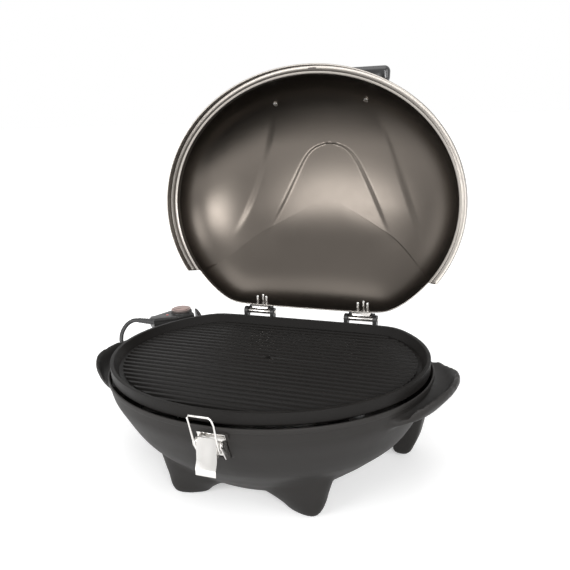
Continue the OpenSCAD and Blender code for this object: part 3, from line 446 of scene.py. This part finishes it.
def coil_path():
    """Six turns round the coil's centre: radius and height step from one place in the two by
    three bundle to the next over the last part of each turn."""
    a0 = math.atan2(229 - COIL_Y, -79 - COIL_X)
    spots = [(39.5, 4.5), (32.5, 4.5), (32.5, 11.5), (39.5, 11.5), (39.5, 18.5), (32.5, 18.5)]
    a1 = math.atan2(230 - COIL_Y, 0.0) + 2 * math.pi * len(spots)
    n = 260
    a = np.linspace(a0, a1, n)
    turn = (a - a0) / (2 * np.pi)
    r = np.full(n, spots[0][0])
    z = np.full(n, spots[0][1])
    for k in range(1, len(spots)):
        w = smooth_step((turn - (k - 0.14)) / 0.2)
        r += (spots[k][0] - spots[k - 1][0]) * w
        z += (spots[k][1] - spots[k - 1][1]) * w
    return np.stack([COIL_X + r * np.cos(a), COIL_Y + r * np.sin(a), z], -1)


def cord_line():
    """The whole lead: route, coil and tail, as one line of points."""
    coil = coil_path()
    first = spline(ROUTE[:-1] + [tuple(coil[0])], 6)
    last = spline([tuple(coil[-1])] + TAIL[1:], 6)
    return np.concatenate([first[:-1], coil, last[1:]])


def sweep(path, radius, sides=16):
    """A round tube: each ring is the radius turned about the path's tangent, in a frame
    carried along so that it doesn't twist."""
    p = np.asarray(path, float)
    t = np.gradient(p, axis=0)
    t /= np.linalg.norm(t, axis=1)[:, None]
    u = np.cross(t[0], (0, 0, 1.0))
    u /= np.linalg.norm(u)
    us = []
    for k in t:
        u = u - k * np.dot(u, k)
        u = u / np.linalg.norm(u)
        us.append(u)
    us = np.array(us)
    vs = np.cross(t, us)
    a = np.linspace(0, 2 * np.pi, sides, endpoint=False)
    r = np.broadcast_to(np.asarray(radius, float), (len(p),))[:, None, None]
    c, s = np.cos(a)[None, :, None], np.sin(a)[None, :, None]
    return ring_stack(p[:, None] + r * (c * us[:, None] + s * vs[:, None]))


line = cord_line()
v, f = sweep(line, CORD_R, 14)
cord = outward(new_piece("supply_lead", place(v), f))
crease(cord, 60)
cord.data.materials.append(lead_mat)
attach(cord, "thermostat")
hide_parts("cord", "cord_coil")

plug = dressed("plug_body", "thermostat", lead_mat, "plug_moulding", bevel=1.5, segments=3)
plug_pins = dressed("plug_pins", "thermostat", pin_mat, "plug_contacts", bevel=0.2)
tie = dressed("cord_tie", "thermostat", tie_mat, "coil_tie", bevel=0.3)


def strain_sleeve():
    """A tapered sleeve: the radius falls along its axis, with ring grooves cut into it as
    a raised cosine that fades at both ends."""
    a = np.array([-246.0, 96.7, 175.0])
    b = np.array([-279.0, 98.0, 175.0])
    t = np.linspace(0, 1, 90)
    wide, thin, depth, grooves = 5.5, 4.15, 0.45, 7
    r = wide + (thin - wide) * t
    fade = smooth_step((t - 0.25) / 0.1) * smooth_step((0.97 - t) / 0.08)
    groove = depth * (0.5 + 0.5 * np.cos(2 * np.pi * grooves * t)) * fade
    path = a + (b - a) * t[:, None]
    return sweep(path, r - groove, 28)


v, f = strain_sleeve()
sleeve = crease(outward(new_piece("lead_strain_sleeve", place(v), f)), 50)
sleeve.data.materials.append(lead_mat)
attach(sleeve, "thermostat")
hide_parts("strain_relief")
tuple(place([line[0]])[0])
place(line)

# --------------------------------------------------------------------- lid

DOME_A, DOME_B, DOME_C, DOME_H = 233.5, 195.7, 162.0, 100.0
DOME_MID, DOME_BASE, SHEET, FLANGE = -15.0, 167.5, 1.2, 11.0
FLANGE_Z, SKIRT_Z, BACK_Z, NOTCH_Y = 166.3, 152.9, 168.5, 108.5
NF, NB = 264, 120          # points of an outline in front of the notches and behind them
DOME_ROWS, PANEL_DEPTH = 110, 2.1


def lid_outline(front_off, front_z, back_off, back_z, soft=5.0):
    """One ring of the lid: the front part ahead of the notches lies at front_off and
    front_z, the back part, cut straight at the hinge side, at back_off and back_z."""
    fa, fb = DOME_A + front_off, DOME_B + front_off
    ba, bb, bc = DOME_A + back_off, DOME_B + back_off, DOME_C + back_off
    tf, tb = math.asin(NOTCH_Y / fb), math.asin((NOTCH_Y + 0.8) / bb)
    t = np.linspace(tb, math.pi - tb, NB)
    back = np.stack([ba * np.cos(t), soft_min(bb * np.sin(t), bc, soft), np.full(NB, float(back_z))], -1)
    t = np.linspace(math.pi - tf, 2 * math.pi + tf, NF)
    front = np.stack([fa * np.cos(t), fb * np.sin(t), np.full(NF, float(front_z))], -1)
    return np.concatenate([back, front])


def emboss(x, y):
    """Height of the pressed panels in the dome: they lie between a bell-shaped arch in the
    middle and a long curve on each side, and fade out to the front and to the hinges."""
    u = np.abs(x - 4)
    t = y + 100
    k = np.maximum(t, 0)
    arch = 0.5 * t + 34 * np.sqrt(1 - np.exp(-k / 9)) * (1 - np.exp(-k / 16)) ** 0.1 + np.minimum(t, 0) * 1.2
    side = 139 + 0.36 * y + 0.0005 * np.maximum(y + 60, 0) ** 2
    valley = smooth_step((u - arch) / 9 + 0.5) * smooth_step((side - u) / 12 + 0.5)
    front = smooth_step((y + 152) / 62)
    rear = 1 - smooth_step((y + 6) / 68)
    return PANEL_DEPTH * valley * front * rear


def dome_rings(inset, count):
    """Rings of the dome from its foot to its crown. At share s of the outline the height is
    the dome's height times (1 - s squared) to the power 1 / 2.2, plus the pressed panels.
    The corners beside the straight back get rounder as the rings shrink."""
    s = 1 - np.linspace(0, 1, count + 1)[1:] ** 1.35
    s = np.clip(s, 0.004, 1)
    h = DOME_H * (1 - s ** 2) ** (1 / 2.2)
    base = np.array([lid_outline(-inset, 0, -inset, 0, 5 + 34 * smooth_step((1 - k) * 2.2)) for k in s])
    x = base[:, :, 0] * s[:, None]
    y = DOME_MID + (base[:, :, 1] - DOME_MID) * s[:, None]
    z = DOME_BASE + h[:, None] - inset * (1 - s[:, None]) + emboss(x, y)
    return np.stack([x, y, z], -1)


def lid_mesh():
    """The whole sheet as one closed skin: inner dome, the rolled lip with its flange and
    skirt, then the outer dome."""
    count = DOME_ROWS
    outer = dome_rings(0, count)
    inner = dome_rings(SHEET, count)[::-1]
    ez = BACK_Z
    lip = [
        lid_outline(-SHEET, FLANGE_Z + 0.5, -SHEET, ez + 0.33),
        lid_outline(-SHEET + 0.5, FLANGE_Z, -SHEET, ez + 0.3),
        lid_outline(2.0, FLANGE_Z - 0.9, -SHEET, ez + 0.28),
        lid_outline(3.6, FLANGE_Z - 0.1, -SHEET, ez + 0.25),
        lid_outline(FLANGE - SHEET - 1.2, FLANGE_Z, -SHEET, ez + 0.2),
        lid_outline(FLANGE - SHEET - 0.3, FLANGE_Z - 0.5, -SHEET, ez + 0.18),
        lid_outline(FLANGE - SHEET, FLANGE_Z - 1.6, -SHEET, ez + 0.15),
        lid_outline(FLANGE - SHEET, SKIRT_Z + 3.0, -SHEET, ez + 0.1),
        lid_outline(FLANGE - SHEET - 0.7, SKIRT_Z + 1.4, -SHEET, ez + 0.05),
        lid_outline(FLANGE - SHEET - 0.5, SKIRT_Z + 0.3, -SHEET, ez),
        lid_outline(FLANGE - 0.6, SKIRT_Z, -SHEET + 0.5, ez - 0.1),
        lid_outline(FLANGE - 0.1, SKIRT_Z + 0.5, -0.3, ez),
        lid_outline(FLANGE, SKIRT_Z + 1.6, 0, ez + 0.05),
        lid_outline(FLANGE, FLANGE_Z - 0.6, 0, ez + 0.15),
        lid_outline(FLANGE - 0.5, FLANGE_Z + 0.7, 0, ez + 0.3),
        lid_outline(FLANGE - 1.6, FLANGE_Z + SHEET, 0, ez + 0.33),
        lid_outline(0.8, FLANGE_Z + SHEET, 0, ez + 0.45)]
    rings = np.concatenate([inner, np.array(lip), outer])
    n = rings.shape[1]
    pts = rings.reshape(-1, 3)
    faces = [list(q) for q in grid_faces(len(rings), n)]
    crown = [np.array([0, DOME_MID, DOME_BASE + DOME_H - SHEET]), np.array([0, DOME_MID, DOME_BASE + DOME_H])]
    crown = [c + np.array([0, 0, float(emboss(c[0], c[1]))]) for c in crown]
    k = len(pts)
    pts = np.concatenate([pts, crown])
    last = (len(rings) - 1) * n
    faces += [[(i + 1) % n, i, k] for i in range(n)]
    faces += [[last + i, last + (i + 1) % n, k + 1] for i in range(n)]
    kind = np.zeros(len(faces), np.int32)
    kind[(count - 1) * n:(count + 5) * n] = 1
    # Index 2 is the skirt's inside, which takes the darker copy of the lid's metal as painted shade.
    kind[(count + 5) * n:(count + 9) * n] = 2
    kind[(count + 9) * n:(count + len(lip)) * n] = 1
    return pts, faces, kind


v, f, bright = lid_mesh()
lid = new_piece("lid_dome", place(lid_open(v)), f)
for sheet in (lid_mat, lid_edge_mat, lid_skirt_painted_shade_mat):
    lid.data.materials.append(sheet)
lid.data.polygons.foreach_set("material_index", bright)
bm = bmesh.new()
bm.from_mesh(lid.data)
bmesh.ops.recalc_face_normals(bm, faces=bm.faces)
bm.to_mesh(lid.data)
bm.free()
crease(lid, 42)
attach(lid, "lid")
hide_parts("lid_shell")


def flange_slot_painted_shade():
    """A thin dark stadium-shaped plate on the flange's underside: painted shade that stands in for a slot,
    which is not cut.
    """
    a = np.linspace(0, 2 * np.pi, 32, endpoint=False)
    x = 6 + np.sign(np.cos(a)) * 5.2 + 1.5 * np.cos(a)
    y = -201.6 + 1.5 * np.sin(a)
    z0 = np.full(32, FLANGE_Z - 0.25)
    return ring_stack([np.stack([x, y, z0], -1), np.stack([x, y, z0 + 0.6], -1)])


v, f = flange_slot_painted_shade()
slot_painted_shade = crease(outward(new_piece("flange_slot_painted_shade", place(lid_open(v)), f)), 30)
# The slot's plate takes the dark dial-ring colour as painted shade.
slot_painted_shade.data.materials.append(dial_ring_and_slot_shade_mat)
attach(slot_painted_shade, "lid")

dressed("lid_handle", "lid", handle_mat, "lid_grip", bevel=0, angle=40)
dressed("lid_handle_screws", "lid", screw_mat, "lid_grip_screws", bevel=0.3, segments=3)
dressed("hinge_leaf_left", "lid", steel_mat, bevel=0.3)
dressed("hinge_leaf_right", "lid", steel_mat, bevel=0.3)
dressed("leaf_screws", "lid", screw_mat, bevel=0.25)

# ----------------------------------------------------------------- housing

HOUSE_A, HOUSE_B, HOUSE_C, HOUSE_TOP, WALL = 234.0, 197.6, 151.8, 165.2, 2.6
PROFILE = np.array([(0.46, 0.091), (0.51, 0.121), (0.577, 0.182), (0.63, 0.242), (0.69, 0.306),
                    (0.742, 0.371), (0.79, 0.428), (0.835, 0.487), (0.872, 0.557), (0.905, 0.636),
                    (0.932, 0.708), (0.96, 0.781), (0.98, 0.84), (0.988, 0.893)])


def house_ring(s, inset, z, n=160):
    """The housing's outline at share s of its size, moved in by inset, at height z."""
    return at_height(oval(HOUSE_A * s - inset, HOUSE_B * s - inset, HOUSE_C * s - inset, n), z)


# One side handle from front to back: Y, outer edge in X, top of the outer edge in Z
HANDLE = [(-96, 206, 149), (-90, 217, 151.5), (-75, 240.7, 165), (-55, 255.6, 171.5), (-35, 263.3, 172),
          (-12, 267, 171), (7, 267.4, 169.5), (25, 266.4, 167), (45, 262, 164), (57, 258, 161.5),
          (70, 252, 158), (82, 244.5, 154.5), (92, 237.5, 152.3), (100, 231.5, 151.2), (106, 226, 150.5),
          (108, 220, 150)]
# The handle's dish: shares of its run outwards and of its rise
DISH = [(0.3, 0.1), (0.62, 0.38), (0.84, 0.72), (1, 0.94)]
UNDER_LID, BESIDE_LID = 4.4, 3.0          # the handles' room under and beside the closed lid


def side_handle_rings():
    """Sections of one side handle along a smooth curve through the table: a root in the
    wall, a level strip under the closed lid, a dish that rises from it to the outer edge,
    and an underside that runs back to the wall."""
    scoop = SKIRT_Z - UNDER_LID
    rings = []
    for y, out, top in spline(HANDLE, 3.0):
        wall = HOUSE_A * math.sqrt(1 - (y / HOUSE_B) ** 2)
        clear = (DOME_A + FLANGE) * math.sqrt(1 - (y / (DOME_B + FLANGE)) ** 2) + BESIDE_LID
        edge = min(6.0, max(2.5, out - clear))
        start = min(clear, out - edge - 1)
        run = out - edge - start
        low = max(top - 12, scoop - 7)
        root = 0.95 * wall
        tuck = min(scoop - 5, low - 0.5)
        rise = top - scoop
        dish = [(start + u * run, y, scoop + w * rise) for u, w in DISH]
        rings.append([(root, y, scoop - 1), (start, y, scoop), *dish, (out - 0.67 * edge, y, top),
                      (out - 0.3 * edge, y, top - 0.1 * edge), (out, y, top - 3),
                      (out, y, low + 2.5), (out - 1.4, y, low),
                      (max(start + 0.3 * run, 0.99 * wall + 0.4), y, tuck),
                      (0.99 * wall, y, scoop - 9.5), (root, y, scoop - 11.5)])
    return rings


# A front leg's sections: height, X from and to, Y from and to, and the turn in degrees
LEG = [(0, -20, 28, -10, 11, -20), (2, -22, 30, -12, 13, -20), (7, -25, 33, -14.5, 17, -19),
       (15, -38, 36, -18, 23, -15), (26, -56, 38, -22, 28, -8), (42, -60, 43, -26, 30, 0),
       (62, -60, 50, -29, 32, 8), (92, -50, 56, -28, 33, 15)]


def front_leg(side):
    """A front leg: rounded sections that spread in a soft ramp from the foot to the bowl.
    Each half width follows the cosine, or sine, to the power 0.8."""
    a = (np.arange(40) + 0.5) * 2 * np.pi / 40
    c, d = np.cos(a), np.sin(a)
    c, d = np.sign(c) * np.abs(c) ** 0.8, np.sign(d) * np.abs(d) ** 0.8
    tab = np.array(LEG, float)
    zs = np.concatenate([np.linspace(0, 42, 22), [52, 62, 78, 92]])
    rings = []
    for z in zs:
        x0, x1, y0, y1, turn = (float(np.interp(z, tab[:, 0], tab[:, k])) for k in range(1, 6))
        o = turned(np.stack([(x0 + x1) / 2 + (x1 - x0) / 2 * c, (y0 + y1) / 2 + (y1 - y0) / 2 * d], -1), turn)
        o = (o + np.array([0.3493 * 229, -0.5 * 192])) * np.array([side, 1])
        rings.append(at_height(o, z))
    return ring_stack(rings)


def foot_outline(length, width, r, n=10):
    """A rounded rectangle."""
    a = np.linspace(0, 2 * np.pi, 4 * n, endpoint=False)
    x = r * np.cos(a) + np.sign(np.cos(a) + 1e-9) * (length / 2 - r)
    y = r * np.sin(a) + np.sign(np.sin(a) + 1e-9) * (width / 2 - r)
    return np.stack([x, y], -1)


def hull(name, layers):
    """The convex body round several flat outlines, each (centre x, centre y, z, outline)."""
    pts = np.concatenate([at_height(o + np.array([x, y]), z) for x, y, z, o in layers])
    bm = bmesh.new()
    for p in pts:
        bm.verts.new(p)
    got = bmesh.ops.convex_hull(bm, input=bm.verts)
    loose = [g for g in got["geom_unused"] if isinstance(g, bmesh.types.BMVert)]
    bmesh.ops.delete(bm, geom=loose, context="VERTS")
    me = bpy.data.meshes.new(name)
    bm.to_mesh(me)
    bm.free()
    return me


def turned(outline, degrees):
    """Flat points turned about their origin."""
    c, s = math.cos(math.radians(degrees)), math.sin(math.radians(degrees))
    return outline @ np.array([[c, s], [-s, c]])


VOXEL, SOFTENING, FLOOR_WALL = 0.0030, 14, 3.0


def make_housing():
    """The moulded housing: bowl, side handles and legs are merged as one voxel skin, which
    is smoothed so that they run into each other in soft fillets. The hollow, the latch's
    recess and the socket's notch are then cut out, and a crisp lip stands on the rim."""
    bowl = [house_ring(s, 0, k * HOUSE_TOP) for s, k in PROFILE] + [house_ring(0.9885, 0, 153.0)]
    parts = [ring_stack(bowl), ring_stack(side_handle_rings())]
    right = parts[1]
    parts.append((right[0] * (-1, 1, 1), [list(q)[::-1] for q in right[1]]))
    obs = [outward(new_piece("p", v, f)) for v, f in parts]
    for m in (1, -1):
        v, f = front_leg(m)
        obs.append(outward(new_piece("p", v, f)))
        back = hull("b", [(m * (174.04 + x), 99.84, z, foot_outline(a, b, r))
                          for x, z, a, b, r in ((0, 0, 16, 30, 6), (0.5, 5, 27, 42, 7), (5.5, 29, 38, 48, 7),
                                                (9, 86, 56, 50, 8), (4, 129, 50, 50, 8))])
        ob = bpy.data.objects.new("p", back)
        bpy.context.collection.objects.link(ob)
        obs.append(outward(ob))
    body = joined("housing_shell", obs)
    body.data.transform(Matrix.Scale(MM, 4))
    r = body.modifiers.new("skin", "REMESH")
    r.mode, r.voxel_size, r.adaptivity = "VOXEL", VOXEL, 0.0
    apply_all(body)
    sm = body.modifiers.new("soft", "SMOOTH")
    sm.factor, sm.iterations = 0.5, SOFTENING
    apply_all(body)
    hollow = [house_ring(s, WALL, k * HOUSE_TOP + FLOOR_WALL * (1 - k)) for s, k in PROFILE]
    hollow += [house_ring(0.9885, WALL, 151), house_ring(0.9885, WALL, 160)]
    v, f = ring_stack(hollow)
    cut(body, outward(new_piece("t", v * MM, f, smooth=False)))
    lip = np.array([house_ring(0.988, 0.15, 147.0), house_ring(0.988, 0.1, 147.6), house_ring(0.99, 0, 157.0),
                    house_ring(0.9905, 0, 157.6), house_ring(0.998, 0, 158.6), house_ring(1, 0, 159.2),
                    house_ring(1, 0, HOUSE_TOP - 0.8), house_ring(1, 0.25, HOUSE_TOP - 0.25),
                    house_ring(1, 0.8, HOUSE_TOP), house_ring(1, WALL - 0.6, HOUSE_TOP),
                    house_ring(1, WALL, HOUSE_TOP - 0.6), house_ring(0.99, WALL, 157),
                    house_ring(0.988, WALL, 147)])
    v, f = ring_stack(lip, closed=True)
    rim = outward(new_piece("t", v * MM, f))
    return body, rim


def side_prism(points, x, w):
    """A block from its outline in Y and Z, w wide about x."""
    p = np.array(points, float)
    rings = [np.stack([np.full(len(p), x + k * w / 2), p[:, 0], p[:, 1]], -1) for k in (-1, 1)]
    v, f = ring_stack(rings)
    return outward(new_piece("t", v * MM, f, smooth=False))


FACET_TOP, FACET_LOW = (-197.2, 159.0), (-183.4, 119.0)
LATCH_X, RECESS_W, BOSS_W = 12, 39, 44
SOCKET, SOCKET_TURN = (-189.459, 107.849), 141


def notch_block():
    """The block that clears the way for the thermostat's snout."""
    a = math.radians(SOCKET_TURN)
    n, l = np.array([math.cos(a), math.sin(a)]), np.array([-math.sin(a), math.cos(a)])
    corners = [(-8, -23.5), (10, -23.5), (10, -1.0), (-8, -1.0)]
    base = np.array([np.array(SOCKET) + i * n + j * l for i, j in corners])
    v, f = ring_stack([at_height(base, 148.5), at_height(base, 178.5)])
    return outward(new_piece("t", v * MM, f, smooth=False))


housing, rim = make_housing()
recess = [FACET_TOP, FACET_LOW, (FACET_LOW[0] - 30, FACET_LOW[1]), (FACET_TOP[0] - 30, FACET_TOP[1])]
for ob in (housing, rim):
    cut(ob, side_prism(recess, LATCH_X, RECESS_W))
    cut(ob, notch_block())
behind = [(FACET_LOW[0] + 5, FACET_LOW[1] - 6), (FACET_TOP[0] + 13, FACET_TOP[1] - 2)]
boss = side_prism([FACET_TOP, FACET_LOW] + behind, LATCH_X, BOSS_W)
housing = joined("housing_shell", [housing, rim, boss])
housing.data.transform(Matrix.Translation((0, SEAT_Y * MM, 0)))
housing.data.materials.clear()
housing.data.materials.append(housing_mat)
crease(housing, 40)
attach(housing, "base")
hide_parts("base_housing")

# ---------------------------------------------------------- smaller pieces

dressed("grill_plate", "plate", plate_mat, "cooking_plate", bevel=0.7, segments=3)
for node, mat, size in (("hinge_bracket_left", hinge_black, 0.5), ("hinge_bracket_right", hinge_black, 0.5),
                        ("hinge_pins", steel_mat, 0.3), ("bracket_screws", screw_mat, 0.4),
                        ("latch_bracket", chrome_mat, 0.25), ("latch_rivets", chrome_mat, 0.3),
                        ("latch_pin", chrome_mat, 0.3), ("socket_guard", hinge_black, 0.6),
                        ("guard_screws", screw_mat, 0.3), ("heat_reflector", reflector_mat, 0),
                        ("reflector_screws", screw_mat, 0.3), ("plate_pads", pad_mat, 0.5),
                        ("plate_supports", housing_mat, 0), ("reflector_posts", housing_mat, 0)):
    dressed(node, "base", mat, bevel=size)
dressed("drip_tray", "tray", tray_mat, bevel=0)
dressed("latch_lever", "lever", chrome_mat, bevel=0.3)
dressed("latch_bail", "bail", chrome_mat, bevel=0, angle=50)
for node, mat, size in (("heating_element", sheath_mat, 0), ("terminal_insulator", ceramic_mat, 0.5),
                        ("terminal_pins", brass_mat, 0)):
    dressed(node, "plate", mat, bevel=size)
for node, mat, size in (("thermostat_lower", control_mat, 0.7), ("thermostat_upper", control_mat, 0.8),
                        ("probe_rod", steel_mat, 0), ("contact_sleeves", brass_mat, 0.2),
                        ("switch_block", switch_mat, 0.4), ("indicator_lens", lens_mat, 0.4)):
    dressed(node, "thermostat", mat, bevel=size, segments=3)
knob = dressed("dial", "dial", [dial_mat, dial_ring_and_slot_shade_mat], "temperature_dial", bevel=0.4, segments=3)
normals = np.empty(len(knob.data.polygons) * 3)
knob.data.polygons.foreach_get("normal", normals)
knob.data.polygons.foreach_set("material_index", (normals.reshape(-1, 3)[:, 2] < 0.8).astype(np.int32))
dressed("dial_shaft", "dial", steel_mat, bevel=0)

# ------------------------------------------------------------------- stage


FLOOR_HALF = 9.0


def floor_material():
    """White floor. Camera, glossy and transmission rays see it glow a little, and fully
    far from the object, so that it runs into the white surround; the shadow stays."""
    m = bpy.data.materials.new("studio_floor")
    m.use_nodes = True
    nt = m.node_tree
    b = nt.nodes["Principled BSDF"]
    b.inputs["Roughness"].default_value = 0.7
    b.inputs["Specular IOR Level"].default_value = 0.2
    co = nt.nodes.new("ShaderNodeTexCoord").outputs["Object"]
    length = nt.nodes.new("ShaderNodeVectorMath")
    length.operation = "LENGTH"
    nt.links.new(co, length.inputs[0])
    far = nt.nodes.new("ShaderNodeMapRange")
    far.interpolation_type = "SMOOTHSTEP"
    for k, v in (("From Min", 0.28), ("From Max", 1.15), ("To Min", 0.30), ("To Max", 1.0)):
        far.inputs[k].default_value = v
    nt.links.new(length.outputs["Value"], far.inputs["Value"])
    rays = nt.nodes.new("ShaderNodeLightPath").outputs
    ray = math_node(nt, "MAXIMUM", rays["Is Camera Ray"], rays["Is Glossy Ray"])
    ray = math_node(nt, "MAXIMUM", ray, rays["Is Transmission Ray"])
    glow = math_node(nt, "MULTIPLY", ray, far.outputs["Result"])
    grey = nt.nodes.new("ShaderNodeMix")
    grey.data_type = "RGBA"
    grey.inputs["A"].default_value = (0, 0, 0, 1)
    grey.inputs["B"].default_value = (1, 1, 1, 1)
    nt.links.new(glow, grey.inputs["Factor"])
    nt.links.new(grey.outputs["Result"], b.inputs["Emission Color"])
    b.inputs["Emission Strength"].default_value = 1.0
    b.inputs["Base Color"].default_value = (0.9, 0.9, 0.9, 1)
    return m


def make_floor():
    """A pale square floor, just under the feet."""
    v = np.array([(x * FLOOR_HALF, y * FLOOR_HALF, -0.0004) for x, y in ((-1, -1), (1, -1), (1, 1), (-1, 1))])
    ob = new_piece("studio_floor", v, [[0, 1, 2, 3]], smooth=False)
    ob.data.materials.append(floor_material())


make_floor()


def lamp(name, pos, target, size, power, size_y=None):
    """An area lamp at pos that faces the target."""
    data = bpy.data.lights.new(name, "AREA")
    data.energy, data.size = power, size
    if size_y:
        data.shape, data.size_y = "RECTANGLE", size_y
    ob = bpy.data.objects.new(name, data)
    bpy.context.collection.objects.link(ob)
    ob.location = pos
    ob.rotation_mode = "QUATERNION"
    ob.rotation_quaternion = (Vector(target) - Vector(pos)).to_track_quat("-Z", "Y")
    return ob


def aimed(az, el, distance, centre):
    """The point at an azimuth from the front and an elevation, seen from the centre."""
    a, e = math.radians(az), math.radians(el)
    return (centre[0] + distance * math.sin(a) * math.cos(e),
            centre[1] - distance * math.cos(a) * math.cos(e),
            centre[2] + distance * math.sin(e))


lamp("window_left", aimed(-25, 7.5, 1.7, (0.02, 0.24, 0.35)), (0.02, 0.24, 0.33), 0.72, 10.0, 0.36)
lamp("window_right", aimed(33, 12, 1.7, (-0.19, 0.21, 0.35)), (-0.19, 0.21, 0.33), 0.66, 13.5, 0.44)
lamp("side_left", aimed(-85, 14, 2.2, (0, 0, 0.2)), (0, 0, 0.2), 1.0, 5)
lamp("side_right", aimed(75, 25, 2.2, (0, 0, 0.2)), (0, 0, 0.2), 1.0, 12)
lamp("top", (0.0, -0.2, 2.4), (0, 0, 0.1), 2.0, 20)

AMBIENT = 0.40             # the share of the white surround that lights the piece
world = bpy.data.worlds.new("studio")
bpy.context.scene.world = world
world.use_nodes = True
wn = world.node_tree
bg = wn.nodes["Background"]
bg.inputs["Color"].default_value = (1, 1, 1, 1)
lp = wn.nodes.new("ShaderNodeLightPath")
seen = math_node(wn, "MAXIMUM", lp.outputs["Is Camera Ray"], lp.outputs["Is Transmission Ray"])
seen = math_node(wn, "MAXIMUM", seen, lp.outputs["Is Glossy Ray"])
strength = math_node(wn, "ADD", math_node(wn, "MULTIPLY", seen, 1 - AMBIENT), AMBIENT)
wn.links.new(strength, bg.inputs["Strength"])

scene = bpy.context.scene
scene.view_settings.view_transform = "Standard"
